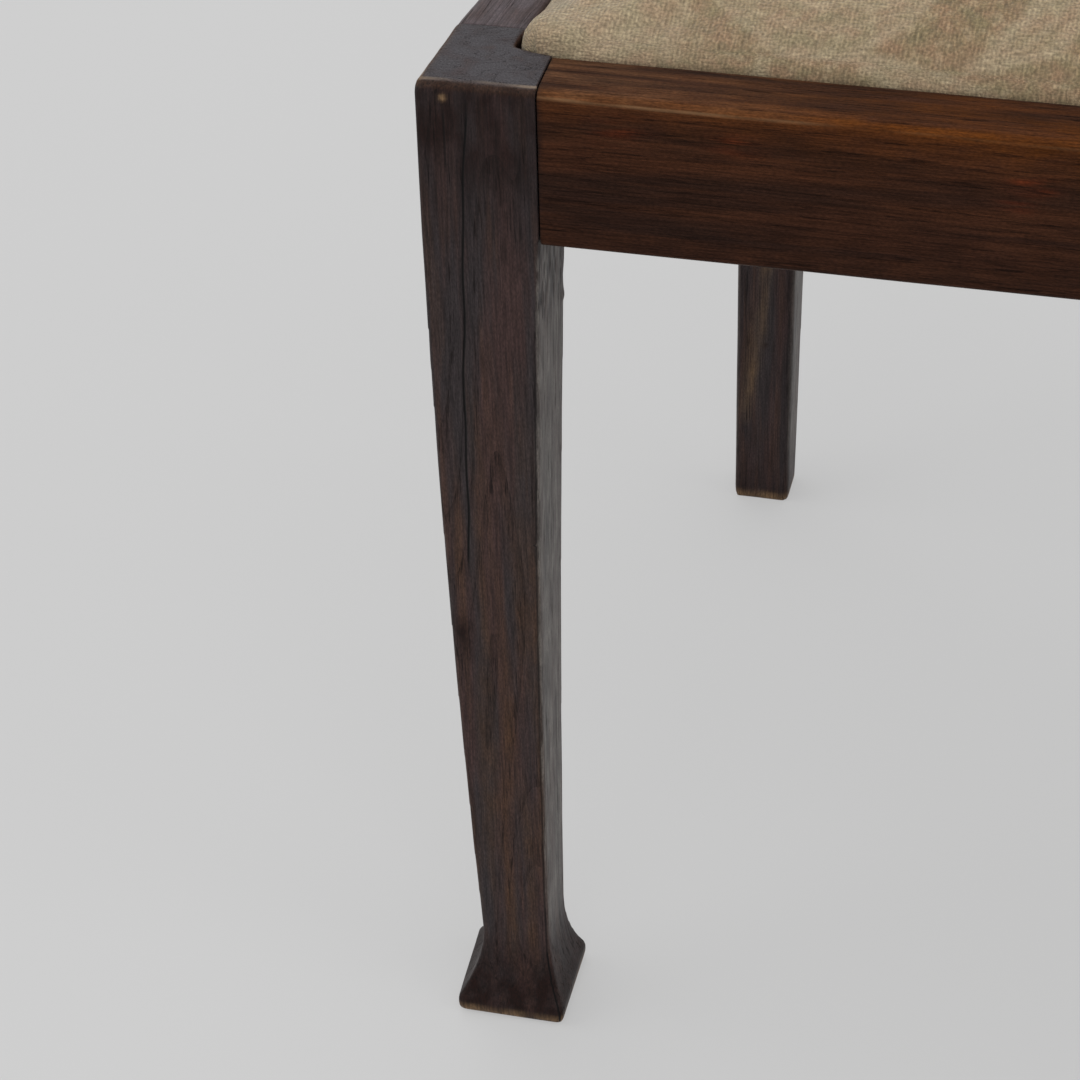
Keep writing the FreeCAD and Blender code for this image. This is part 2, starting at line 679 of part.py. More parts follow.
def crowned(inset, z0, edge):
    """A block with the seat's plan, upright sides, a rolled rim and a crowned top."""
    rim = [(0, z0), (0, edge - RIM_DROP), (RIM_SHOULDER, edge - RIM_SHOULDER)]
    rim += [(RIM_REACH, edge + RIM_RISE), (RIM_REACH, edge + RIM_RISE + PAD_CROWN)]
    solid = lofted([seat_loop(inset + draw, z) for draw, z in rim])
    return solid.cut(crown_surface(inset, edge).extrude(Vec(0, 0, 2 * PAD_CROWN)))


def seat_frame():
    """Front and back members run across; the side members butt between them on dowels."""
    inset = COVER_THICK + LAYER_GAP
    outside = seat_slab(inset, FRAME_LOW, FRAME_TOP)
    hollow = seat_slab(inset + SEAT_FRAME_WIDTH, FRAME_LOW, FRAME_TOP)
    ring = outside.cut(hollow)
    edge = RAIL_LIP + SEAT_GAP + inset + SEAT_FRAME_WIDTH
    front_line = edge
    back_line = SEAT_DEPTH - SEAT_GAP - inset - SEAT_FRAME_WIDTH
    members = {
        "seat_frame_front": ring.common(box(-FAR, FAR, 0, front_line, 0, FAR)),
        "seat_frame_back": ring.common(box(-FAR, FAR, back_line, FAR, 0, FAR)),
        "seat_frame_left": ring.common(box(-FAR, 0, front_line + LAYER_GAP, back_line - LAYER_GAP, 0, FAR)),
    }
    dowels = []
    height = (FRAME_LOW + FRAME_TOP) / 2
    middle = RAIL_LIP + SEAT_GAP + inset + SEAT_FRAME_WIDTH / 2
    for y in (front_line, back_line):
        for offset in (-DOWEL_SPACING / 2, DOWEL_SPACING / 2):
            start = Vec(side_line(middle + offset, y), y - DOWEL_LENGTH / 2, height)
            along = Vec(0, 1, 0)
            dowels.append(faceted(start, along, DOWEL_RADIUS, DOWEL_RADIUS, DOWEL_LENGTH, DOWEL_SIDES))
            wide = DOWEL_RADIUS + GLUE_GAP
            deep = DOWEL_LENGTH + 2 * GLUE_GAP
            hole = faceted(start - along * GLUE_GAP, along, wide, wide, deep, DOWEL_SIDES)
            for name in members:
                members[name] = members[name].cut(hole)
                if name != "seat_frame_left":
                    members[name] = members[name].cut(mirrored(hole))
    parts.update(members)
    parts["seat_frame_right"] = mirrored(members["seat_frame_left"])
    parts["seat_frame_dowels"] = Part.makeCompound(dowels + [mirrored(d) for d in dowels])


def webbing_places():
    """The middles of the straps that run front to back, and of those that run across."""
    across_middle = (RAIL_LIP + SEAT_DEPTH) / 2
    places = [WEBBING_PITCH * s for s in (-1, 0, 1)]
    return places, [across_middle + place for place in places]


def strap(path, width_direction):
    """A strap of even thickness over a path of points, each as a base point."""
    lift = Vec(0, 0, WEBBING_THICK)
    outline = path + [p + lift for p in reversed(path)]
    return prism(outline, width_direction)


def make_webbing():
    lengthwise, crosswise = webbing_places()
    half = WEBBING_WIDTH / 2
    rim = COVER_THICK + LAYER_GAP + SEAT_FRAME_WIDTH - WEBBING_LAP
    front_end = RAIL_LIP + SEAT_GAP + rim
    back_end = SEAT_DEPTH - SEAT_GAP - rim
    long_straps = []
    for x in lengthwise:
        path = [Vec(x - half, front_end, FRAME_TOP), Vec(x - half, back_end, FRAME_TOP)]
        long_straps.append(strap(path, Vec(WEBBING_WIDTH, 0, 0)))
    cross_straps = []
    for row, y in enumerate(crosswise):
        end = side_line(RAIL_LIP + SEAT_GAP + rim, y + half)
        frame_edge = side_line(RAIL_LIP + SEAT_GAP + rim + WEBBING_LAP + LAYER_GAP, y + half)
        path = [Vec(end, y - half, FRAME_TOP), Vec(frame_edge, y - half, FRAME_TOP)]
        for column, x in enumerate(lengthwise):
            over = (row + column) % 2 == 0
            level = FRAME_TOP + (WEBBING_STEP if over else -WEBBING_STEP)
            path += [Vec(x - half, y - half, level), Vec(x + half, y - half, level)]
        path += [Vec(-frame_edge, y - half, FRAME_TOP), Vec(-end, y - half, FRAME_TOP)]
        cross_straps.append(strap(path, Vec(0, WEBBING_WIDTH, 0)))
    parts["webbing_lengthwise"] = Part.makeCompound(long_straps)
    parts["webbing_crosswise"] = Part.makeCompound(cross_straps)


def tack(place, up):
    """A cut tack: a six-sided head and a square tapered shank; up is the way its head faces."""
    turns = [math.pi * i / 3 for i in range(6)]
    ring = [place + Vec(math.cos(t), math.sin(t), 0) * TACK_HEAD_RADIUS for t in turns]
    head = prism(ring, Vec(0, 0, up * TACK_HEAD_HEIGHT))
    half = TACK_SHANK / 2
    square = [(-half, -half), (half, -half), (half, half), (-half, half), (-half, -half)]
    root = Part.makePolygon([place + Vec(a, b, 0) for a, b in square])
    tip_place = place - Vec(0, 0, up * TACK_LENGTH)
    tip = Part.makePolygon([tip_place + Vec(a, b, 0) * TACK_TIP_SHARE for a, b in square])
    return head.fuse(Part.makeLoft([root, tip], True, True))


def tacks_round(inset, z):
    """Tacks, heads down, spaced along the four sides of the seat's plan."""
    corners = seat_corners(inset, z)
    made = []
    for i, start in enumerate(corners):
        run = corners[(i + 1) % 4] - start
        count = int((run.Length - TACK_PITCH) / TACK_PITCH) + 1
        for k in range(count):
            share = 0.5 + (k - (count - 1) / 2) * TACK_PITCH / run.Length
            made.append(tack(start + run * share, -1))
    return made


def webbing_tacks():
    """Two tacks, heads up, at both ends of every strap."""
    lengthwise, crosswise = webbing_places()
    side = WEBBING_TACK_SPACING
    z = FRAME_TOP + WEBBING_THICK
    u = RAIL_LIP + SEAT_GAP + WEBBING_TACK_INSET
    made = []
    for x in lengthwise:
        for dx in (-side, side):
            made += [tack(Vec(x + dx, u, z), 1), tack(Vec(x + dx, SEAT_DEPTH - u + RAIL_LIP, z), 1)]
    for y in crosswise:
        for dy in (-side, side):
            x = side_line(u, y + dy)
            made += [tack(Vec(x, y + dy, z), 1), tack(Vec(-x, y + dy, z), 1)]
    return made


def make_seat():
    seat_frame()
    make_webbing()
    inner = COVER_THICK + LAYER_GAP
    edge = PAD_LOW + PAD_EDGE
    parts["hessian"] = seat_slab(HESSIAN_INSET, HESSIAN_LOW, HESSIAN_LOW + HESSIAN_THICK)
    parts["stuffing_pad"] = crowned(inner, PAD_LOW, edge)
    outside = crowned(0, COVER_LOW, edge + COVER_THICK)
    inside = crowned(COVER_THICK, COVER_LOW + COVER_THICK, edge + LAYER_GAP)
    window = seat_slab(COVER_TUCK, COVER_LOW - COVER_THICK, COVER_LOW + 2 * COVER_THICK)
    parts["seat_cover"] = outside.cut(inside).cut(window)
    cloth_top = COVER_LOW - LAYER_GAP
    parts["dust_cloth"] = seat_slab(DUST_CLOTH_INSET, cloth_top - DUST_CLOTH_THICK, cloth_top)
    parts["cover_tacks"] = Part.makeCompound(tacks_round(COVER_TACK_INSET, COVER_LOW))
    cloth_low = cloth_top - DUST_CLOTH_THICK
    parts["dust_cloth_tacks"] = Part.makeCompound(tacks_round(DUST_TACK_INSET, cloth_low))
    parts["webbing_tacks"] = Part.makeCompound(webbing_tacks())


make_back()
make_frame()
make_blocks()
make_seat()

# Move the chair so that the origin is on the floor in the middle of its footprint
round_middle = raked_point(POST_TOP_DEPTH - POST_TOP_ROUND, POST_LENGTH_ABOVE - POST_TOP_ROUND)
footprint_back = round_middle[0] + POST_TOP_ROUND
middle_y = (footprint_back - FOOT_SPREAD) / 2

os.makedirs("parts", exist_ok=True)
for name, shape in parts.items():
    shape.translate(Vec(0, -middle_y, 0))
    shape.exportStep(f"parts/{name}.step")
    print(name, len(shape.Solids), shape.isValid(), round(shape.Volume, 1))
print("front edge of the feet at y", round(-FOOT_SPREAD - middle_y, 3), "nodes", len(parts))
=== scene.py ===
# %% [markdown]
# # A dark oak dining chair with a lift-out seat
# The chair is an old one: stained and waxed oak, rubbed and cracked with use, and a seat in a ribbed
# weave that drops into a rebate of the rails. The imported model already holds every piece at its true
# place and size. This script dresses it: it wears the wood, stretches the cover over its stuffing,
# gives the fasteners their heads, and puts the chair in soft studio light.

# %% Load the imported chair
import json
import math

import bmesh
import bpy
import numpy as np
from mathutils import Matrix, Vector, noise
from mathutils.bvhtree import BVHTree


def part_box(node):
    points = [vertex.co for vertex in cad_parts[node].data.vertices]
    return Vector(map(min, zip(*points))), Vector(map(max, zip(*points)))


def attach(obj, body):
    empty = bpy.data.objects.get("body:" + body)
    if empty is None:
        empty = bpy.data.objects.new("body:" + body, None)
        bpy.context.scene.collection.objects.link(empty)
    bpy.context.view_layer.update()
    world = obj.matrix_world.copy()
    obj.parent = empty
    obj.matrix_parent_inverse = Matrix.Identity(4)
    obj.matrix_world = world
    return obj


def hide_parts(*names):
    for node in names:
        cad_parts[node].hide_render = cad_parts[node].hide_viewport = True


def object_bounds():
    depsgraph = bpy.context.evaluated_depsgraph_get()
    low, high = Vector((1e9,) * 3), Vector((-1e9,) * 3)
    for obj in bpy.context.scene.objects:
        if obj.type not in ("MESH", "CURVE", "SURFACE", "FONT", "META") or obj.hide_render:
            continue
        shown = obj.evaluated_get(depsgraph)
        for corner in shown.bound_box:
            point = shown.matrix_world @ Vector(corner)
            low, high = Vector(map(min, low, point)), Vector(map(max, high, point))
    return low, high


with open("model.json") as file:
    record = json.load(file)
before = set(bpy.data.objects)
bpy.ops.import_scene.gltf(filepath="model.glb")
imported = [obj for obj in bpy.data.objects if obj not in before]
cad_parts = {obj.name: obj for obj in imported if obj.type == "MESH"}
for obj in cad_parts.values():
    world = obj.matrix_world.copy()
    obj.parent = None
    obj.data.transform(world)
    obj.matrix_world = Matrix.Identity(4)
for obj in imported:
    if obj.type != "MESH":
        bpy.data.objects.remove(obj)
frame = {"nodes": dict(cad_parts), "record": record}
cad_low, cad_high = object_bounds()
MM = 0.001
record = frame["record"]
body_of = {node: body for body, members in record["behaviour"]["bodies"].items() for node in members}
print("chair", [round(v, 3) for v in cad_high - cad_low], "m,", len(frame["nodes"]), "nodes")

# %% [markdown]
# ## The camera
# The photograph looks down on the left front corner through a long lens. Its place and its turns were
# worked out from the straight edges of the leg, the rails and the feet, so they are given as a place,
# three angles and a lens. The camera's own axes are then built from those angles.

# %% Place the camera
CAMERA_PLACE = Vector((0.0619, -1.2416, 1.0212))
CAMERA_YAW = math.radians(-14.337)
CAMERA_PITCH = math.radians(36.495)
CAMERA_ROLL = math.radians(1.729)
CAMERA_LENS_MM = 112.43
FRONT_LEG_MIDDLE = Vector((-0.21, -0.22, 0.25))


def linked(name, data):
    """A new object with this data, in the scene."""
    thing = bpy.data.objects.new(name, data)
    bpy.context.scene.collection.objects.link(thing)
    return thing


def camera_axes():
    """The camera's right, up and backward directions, as the columns of a matrix."""
    level = math.cos(CAMERA_PITCH)
    ahead = Vector((math.sin(CAMERA_YAW) * level, math.cos(CAMERA_YAW) * level, -math.sin(CAMERA_PITCH)))
    across = Vector((math.cos(CAMERA_YAW), -math.sin(CAMERA_YAW), 0))
    down = ahead.cross(across)
    right = across * math.cos(CAMERA_ROLL) + down * math.sin(CAMERA_ROLL)
    up = across * math.sin(CAMERA_ROLL) - down * math.cos(CAMERA_ROLL)
    return Matrix((right, up, -ahead)).transposed()


camera_data = bpy.data.cameras.new("photo_camera")
camera_data.lens = CAMERA_LENS_MM
camera = linked("photo_camera", camera_data)
camera.matrix_world = Matrix.Translation(CAMERA_PLACE) @ camera_axes().to_4x4()
bpy.context.scene.camera = camera
bpy.context.scene.view_settings.view_transform = "Standard"
print("camera", round((CAMERA_PLACE - FRONT_LEG_MIDDLE).length, 2), "m from the front leg")

# %% [markdown]
# ## Colours and nodes
# Colours are written as sRGB hex values, the way a paint chart or a picture editor shows them, and
# turned to the linear values that shaders work in. One small function adds a node, sets it and links
# it, so that a material reads as a list of its layers. Every material ends in the same few nodes.

# %% Helpers for every material
def linear(hex_colour):
    """An sRGB hex colour as the linear RGBA that shader sockets hold."""
    shares = [int(hex_colour[i:i + 2], 16) / 255 for i in (1, 3, 5)]
    return tuple(s / 12.92 if s <= 0.04045 else ((s + 0.055) / 1.055) ** 2.4 for s in shares) + (1.0,)


def add(tree, kind, settings=None, inputs=None):
    """Add a node: settings are its properties, inputs are plain values, or the nodes or sockets to link."""
    node = tree.nodes.new(kind)
    for key, value in (settings or {}).items():
        setattr(node, key, value)
    for key, value in (inputs or {}).items():
        if isinstance(value, bpy.types.Node):
            value = next(socket for socket in value.outputs if socket.enabled)
        if isinstance(value, bpy.types.NodeSocket):
            tree.links.new(value, node.inputs[key])
        else:
            node.inputs[key].default_value = value
    return node


def empty_material(name):
    """A new material and its node tree, with nothing in it yet."""
    material = bpy.data.materials.new(name)
    material.use_nodes = True
    material.node_tree.nodes.clear()
    return material, material.node_tree


def end_material(tree, inputs, height=None, strength=0.0, distance=0.0):
    """The last nodes of a material: bumps drawn from a height, if it has one, the surface and the output."""
    if height:
        inputs["Normal"] = add(tree, "ShaderNodeBump", inputs={
            "Height": height, "Strength": strength, "Distance": distance})
    shader = add(tree, "ShaderNodeBsdfPrincipled", inputs=inputs)
    add(tree, "ShaderNodeOutputMaterial", inputs={"Surface": shader})


print("dark stain", [round(v, 4) for v in linear("#2a1f1e")[:3]])

# %% [markdown]
# ## Floor and light
# A pale floor that runs on past every view, and four large soft boxes that stand well away, so that
# the light hardly changes over the floor. The world is an even fill. To the camera and in reflections
# the floor also glows a little, as a lit studio sweep does, which evens it out. It stays a real
# surface: it holds the soft shadow of the feet and shows in the wax at a low angle.

# %% Floor, world and lamps
FLOOR_SIZE = 40.0
FLOOR_COLOUR = "#cccccc"
BACKGROUND_COLOUR = "#cccccc"
FLOOR_GLOW = 0.65
FILL_STRENGTH = 0.66
LAMP_SIZE = 4.0
LAMPS = {
    "top_lamp": {"place": (-0.8, 1.9, 5.2), "watts": 62},
    "left_lamp": {"place": (-4.6, -1.2, 3.4), "watts": 68},
    "right_lamp": {"place": (4.6, -0.8, 3.4), "watts": 60},
    "front_lamp": {"place": (0.6, -3.6, 4.2), "watts": 62},
}
LAMP_AIM = Vector((-0.05, -0.05, 0.35))


def seen_directly(tree):
    """1 for what the camera sees, straight on or by way of a mirror or glass, and 0 for lighting."""
    ray = add(tree, "ShaderNodeLightPath").outputs
    seen = add(tree, "ShaderNodeMath", {"operation": "MAXIMUM"},
               {0: ray["Is Camera Ray"], 1: ray["Is Glossy Ray"]})
    return add(tree, "ShaderNodeMath", {"operation": "MAXIMUM"}, {0: seen, 1: ray["Is Transmission Ray"]})


def make_floor():
    shell = bmesh.new()
    bmesh.ops.create_grid(shell, x_segments=8, y_segments=8, size=FLOOR_SIZE / 2)
    mesh = bpy.data.meshes.new("floor")
    shell.to_mesh(mesh)
    shell.free()
    floor = linked("floor", mesh)
    material, tree = empty_material("matt_floor")
    lit = add(tree, "ShaderNodeBsdfDiffuse", inputs={"Color": linear(FLOOR_COLOUR)})
    glow = add(tree, "ShaderNodeEmission", inputs={"Color": linear(FLOOR_COLOUR)})
    share = add(tree, "ShaderNodeMath", {"operation": "MULTIPLY"}, {0: seen_directly(tree), 1: FLOOR_GLOW})
    surface = add(tree, "ShaderNodeMixShader", inputs={0: share, 1: lit, 2: glow})
    add(tree, "ShaderNodeOutputMaterial", inputs={"Surface": surface})
    mesh.materials.append(material)


def make_world():
    """Even grey light for the chair, and the floor's own grey where a view reaches past the floor."""
    world = bpy.data.worlds.new("studio")
    bpy.context.scene.world = world
    world.use_nodes = True
    tree = world.node_tree
    tree.nodes.clear()
    fill = add(tree, "ShaderNodeBackground", inputs={"Color": (1, 1, 1, 1), "Strength": FILL_STRENGTH})
    back = add(tree, "ShaderNodeBackground", inputs={"Color": linear(BACKGROUND_COLOUR)})
    mixed = add(tree, "ShaderNodeMixShader", inputs={0: seen_directly(tree), 1: fill, 2: back})
    add(tree, "ShaderNodeOutputWorld", inputs={"Surface": mixed})


def make_lamps():
    for name, lamp in LAMPS.items():
        data = bpy.data.lights.new(name, "AREA")
        data.size = LAMP_SIZE
        data.energy = lamp["watts"]
        light = linked(name, data)
        light.location = lamp["place"]
        light.rotation_mode = "QUATERNION"
        light.rotation_quaternion = (LAMP_AIM - light.location).to_track_quat("-Z", "Y")
        light.visible_camera = False


make_floor()
make_world()
make_lamps()
print("lamps", sum(lamp["watts"] for lamp in LAMPS.values()), "W in all")

# %% [markdown]
# ## Wearing the wood
# A imported piece has flat facets and crisp edges, and old joinery has neither: every arris has been
# rubbed round and dented. Bevels would give even edges. Here a copy of each piece is remeshed into
# small voxels and smoothed, which rounds the edges as wear does, and then pushed about by a little
# noise. How far each point sticks out from its smoothed surroundings is kept as an attribute, which
# the finish reads to show where the stain has been rubbed away. On the front rail the same attribute
# also carries a painted sheen on the top near its ends.

# %% Helpers that read, smooth and paint a mesh
def read_points(mesh):
    flat = np.empty(len(mesh.vertices) * 3)
    mesh.vertices.foreach_get("co", flat)
    return flat.reshape(-1, 3)


def read_normals(mesh):
    flat = np.empty(len(mesh.vertices) * 3)
    mesh.vertex_normals.foreach_get("vector", flat)
    return flat.reshape(-1, 3)


def read_edges(mesh):
    flat = np.empty(len(mesh.edges) * 2, dtype=np.int32)
    mesh.edges.foreach_get("vertices", flat)
    return flat.reshape(-1, 2)


def write_points(mesh, points):
    mesh.vertices.foreach_set("co", points.ravel())
    mesh.update()


def smoothed(points, edges, rounds):
    """Each point moved half way to the mean of its neighbours, again and again."""
    ends = np.concatenate([edges[:, 0], edges[:, 1]])
    others = np.concatenate([edges[:, 1], edges[:, 0]])
    count = np.bincount(ends, minlength=len(points))
    for _ in range(rounds):
        mean = [np.bincount(ends, points[others, k], len(points)) / count for k in range(3)]
        points = (points + np.stack(mean, axis=1)) / 2
    return points


def noise_at(points, size, seed):
    """Smooth noise from about -1 to 1, with features of this size in metres, or one size per axis."""
    placed = points / np.array(size) + np.array([7.3, 3.1, 5.7]) * seed
    return np.array([noise.noise(p) for p in placed.tolist()])


def ramp(values, start, end):
    """Values from 0 at the start to 1 at the end, held outside."""
    return np.clip((values - start) / (end - start), 0, 1)


def paint(mesh, **layers):
    """Keep a value from 0 to 1 at each point of a mesh, in attributes that the materials read by name."""
    for name, values in layers.items():
        layer = mesh.attributes.get(name) or mesh.attributes.new(name, "FLOAT", "POINT")
        layer.data.foreach_set("value", np.clip(values, 0, 1).astype(np.float32))


# %% Helpers that copy, remesh and hand over a piece
def merged_copy(node):
    """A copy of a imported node's mesh as a bmesh, with its loose triangles joined."""
    shell = bmesh.new()
    shell.from_mesh(frame["nodes"][node].data)
    bmesh.ops.remove_doubles(shell, verts=shell.verts, dist=0.001 * MM)
    return shell


def shown_piece(name, shell):
    """A new object made of a bmesh, in the scene."""
    mesh = bpy.data.meshes.new(name)
    shell.to_mesh(mesh)
    shell.free()
    return linked(name, mesh)


def drawn_piece(name, points, edges, faces):
    """A new object made of points and what joins them, in the scene."""
    mesh = bpy.data.meshes.new(name)
    mesh.from_pydata(points, edges, faces)
    return linked(name, mesh)


def keep_result(piece):
    """Replace a piece's mesh by what its modifiers make of it."""
    graph = bpy.context.evaluated_depsgraph_get()
    made = bpy.data.meshes.new_from_object(piece.evaluated_get(graph))
    piece.modifiers.clear()
    piece.data = made
    return piece


def voxel_remesh(piece, size):
    remesh = piece.modifiers.new("voxels", "REMESH")
    remesh.mode = "VOXEL"
    remesh.voxel_size = size
    remesh.use_smooth_shade = True
    return keep_result(piece)


def thicken(piece, thick):
    """Turn a single sheet into cloth of this thickness, inwards from where it lies."""
    solid = piece.modifiers.new("thickness", "SOLIDIFY")
    solid.thickness = thick
    solid.offset = -1
    return keep_result(piece)


def dress(piece, material, *replaced):
    """Give a finished piece its material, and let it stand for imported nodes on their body."""
    piece.data.materials.clear()
    piece.data.materials.append(material)
    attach(piece, body_of[replaced[0]])
    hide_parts(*replaced)


# %% [markdown]
# Smoothing also rounds the edges where two pieces meet, and that would open every joint into a wide
# groove. So the points near a jointed face are drawn back out to it, which keeps that edge crisp.

# %% Make a worn copy of a wooden piece
RAIL_LOW, RAIL_TOP = (corner.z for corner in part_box("front_seat_rail"))
JOINT_REACH = 6.0 * MM
JOINT_ROUNDED = 2.4 * MM
JOINT_KEPT = 0.16 * MM
JOINT_FADE = 3.0 * MM
JOINTS = {
    "front_leg_left": ((0, 1), (1, 1)), "front_leg_right": ((0, -1), (1, 1)),
    "front_seat_rail": ((0, -1), (0, 1)), "back_seat_rail": ((0, -1), (0, 1)),
    "side_seat_rail_left": ((1, -1), (1, 1)), "side_seat_rail_right": ((1, -1), (1, 1)),
}
UNEVEN_SIZE = 45 * MM
UNEVEN_DEPTH = 0.12 * MM
DENT_SIZE = 7 * MM
DENT_DEPTH = 0.4 * MM
WEAR_ROUNDS = 3
WEAR_START = 0.1
WEAR_FULL = 0.3


def top_box(node):
    """The lowest and highest corners of the points that lie in a piece's top face."""
    points = read_points(frame["nodes"][node].data)
    top = points[points[:, 2] > RAIL_TOP - 0.5 * MM]
    return top.min(axis=0), top.max(axis=0)


def close_joints(node, points):
    """Draw the rounded edges at a piece's joints back out; also say how near each point is to one."""
    near = np.zeros(len(points))
    fade_from = RAIL_LOW if "leg" in node else RAIL_LOW - 2 * JOINT_FADE
    block = ramp(points[:, 2], fade_from, fade_from + JOINT_FADE)
    low, high = top_box(node)
    for axis, side in JOINTS[node]:
        face = high[axis] if side > 0 else low[axis]
        depth = (face - points[:, axis]) * side
        inside = (depth > 0) & (depth < JOINT_REACH)
        drawn = np.interp(depth, [0, JOINT_ROUNDED, JOINT_REACH], [0, JOINT_KEPT, JOINT_REACH])
        points[:, axis] -= side * np.where(inside, (drawn - depth) * block, 0)
        near = np.maximum(near, inside * block)
    return points, near


def worn_copy(node, voxel, rounds, seed):
    """A remeshed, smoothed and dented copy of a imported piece, with its wear painted on."""
    piece = shown_piece("worn_" + node, merged_copy(node))
    mesh = voxel_remesh(piece, voxel).data
    edges = read_edges(mesh)
    points = smoothed(read_points(mesh), edges, rounds)
    jointed = np.zeros(len(points))
    if node in JOINTS:
        points, jointed = close_joints(node, points)
    write_points(mesh, points)
    normals = read_normals(mesh)
    proud = ((points - smoothed(points, edges, WEAR_ROUNDS)) * normals).sum(axis=1) / voxel
    wear = ramp(proud, WEAR_START, WEAR_FULL) * (1 - jointed)
    push = noise_at(points, UNEVEN_SIZE, seed) * UNEVEN_DEPTH * (1 - jointed)
    dents = ramp(noise_at(points, DENT_SIZE, seed + 1), 0.1, 1.1) * wear
    write_points(mesh, points + normals * (push - dents * DENT_DEPTH)[:, None])
    paint(mesh, wear=wear)
    return piece


print("rails from", round(RAIL_LOW, 3), "to", round(RAIL_TOP, 3), "m above the floor")

# %% [markdown]
# ## Oak
# Oak is ring-porous: each year's growth starts with a band of wide vessels, which a plane cuts open
# as dark dashes along the grain. A dark stain sinks into them, and wax leaves a low sheen on the rest.
# The growth rings are contour lines of a noise stretched along the grain, which gives the arched
# figure of a board; the dashes are a fine stretched noise that shows where a ring begins. Rubbed
# edges, end grain, grime and patches are attributes of the mesh, each with a tone of its own, and so
# are the painted sheen on end grain, edges and some faces and the painted shade in recesses. A crack
# is thinner than the mesh, so the mesh only holds the distance to it, and the finish draws the line.
# The pale line along a worn top edge, partly a painted highlight, is drawn the same way.

# %% The oak finish
GRAIN_LAYERS = {
    "rings": (46, 11, 900, 1.0), "vessels": (0.65, 0.65, 11, 1.0), "fibres": (0.7, 0.7, 18, 2.0),
    "stain": (9, 9, 130, 3.0), "streaks": (4.5, 4.5, 75, 2.0), "cloud": (7, 7, 14, 3.0),
    "pores": (0.5, 0.5, 1.6, 1.0),
}
AXES = {"X": "ZYX", "Y": "ZXY", "Z": "XYZ"}
RING_COUNT = 17
RING_LINE = 0.18
LINE_SPAN = 4.0 * MM
LINE_HALF = 0.42 * MM
# Marks that the mesh holds; with their tones they also paint light: sheen on end grain, edges and faces,
# highlights along edges, and shade in recesses.
MARKS = ("end_grain", "patch", "glow", "soot", "wear")
CRACK_TONE = "#050303"


def along_grain(grain, across_mm, deep_mm, along_mm):
    """The scale that stretches a pattern along one axis, from its sizes across, into and along it."""
    sizes = dict(zip(AXES[grain], (across_mm, deep_mm, along_mm)))
    return tuple(1000 / sizes[axis] for axis in "XYZ")


def grain_noises(tree, grain, layers, turn=0.0):
    """The noises that make up the figure, each stretched along the grain."""
    place = add(tree, "ShaderNodeTexCoord").outputs["Object"]
    place = add(tree, "ShaderNodeVectorRotate", {"rotation_type": "Z_AXIS"},
                {"Vector": place, "Angle": math.radians(turn)})
    noises = {}
    for layer, (*sizes, detail) in layers.items():
        stretched = add(tree, "ShaderNodeMapping", inputs={
            "Vector": place, "Scale": along_grain(grain, *sizes)})
        noises[layer] = add(tree, "ShaderNodeTexNoise", inputs={
            "Vector": stretched, "Scale": 1.0, "Detail": detail})
    return noises


def dark_figure(tree, noises):
    """Where the stain lies darkest: open vessels, more of them and a thin line where a ring begins."""
    phase = add(tree, "ShaderNodeMath", {"operation": "MULTIPLY"}, {0: noises["rings"], 1: RING_COUNT})
    phase = add(tree, "ShaderNodeMath", {"operation": "FRACT"}, {0: phase})
    early = add(tree, "ShaderNodeMapRange", {"interpolation_type": "SMOOTHSTEP"},
                {"Value": phase, "From Min": 0.55, "From Max": 0.0, "To Min": 0.18})
    line = add(tree, "ShaderNodeMapRange", inputs={
        "Value": phase, "From Min": RING_LINE, "From Max": 0.0, "To Max": 0.45})
    dashes = add(tree, "ShaderNodeMapRange", inputs={
        "Value": noises["vessels"], "From Min": 0.52, "From Max": 0.66})
    vessels = add(tree, "ShaderNodeMath", {"operation": "MULTIPLY"}, {0: dashes, 1: early})
    return add(tree, "ShaderNodeMath", {"operation": "MAXIMUM"}, {0: vessels, 1: line})


def drawn_line(tree):
    """A thin line where the attribute called line, a distance, passes through its middle value."""
    line = add(tree, "ShaderNodeAttribute", {"attribute_name": "line"}).outputs["Fac"]
    offset = add(tree, "ShaderNodeMath", {"operation": "SUBTRACT"}, {0: line, 1: 0.5})
    offset = add(tree, "ShaderNodeMath", {"operation": "ABSOLUTE"}, {0: offset})
    half = LINE_HALF / (2 * LINE_SPAN)
    return add(tree, "ShaderNodeMapRange", inputs={
        "Value": offset, "From Min": 1.5 * half, "From Max": 0.5 * half})


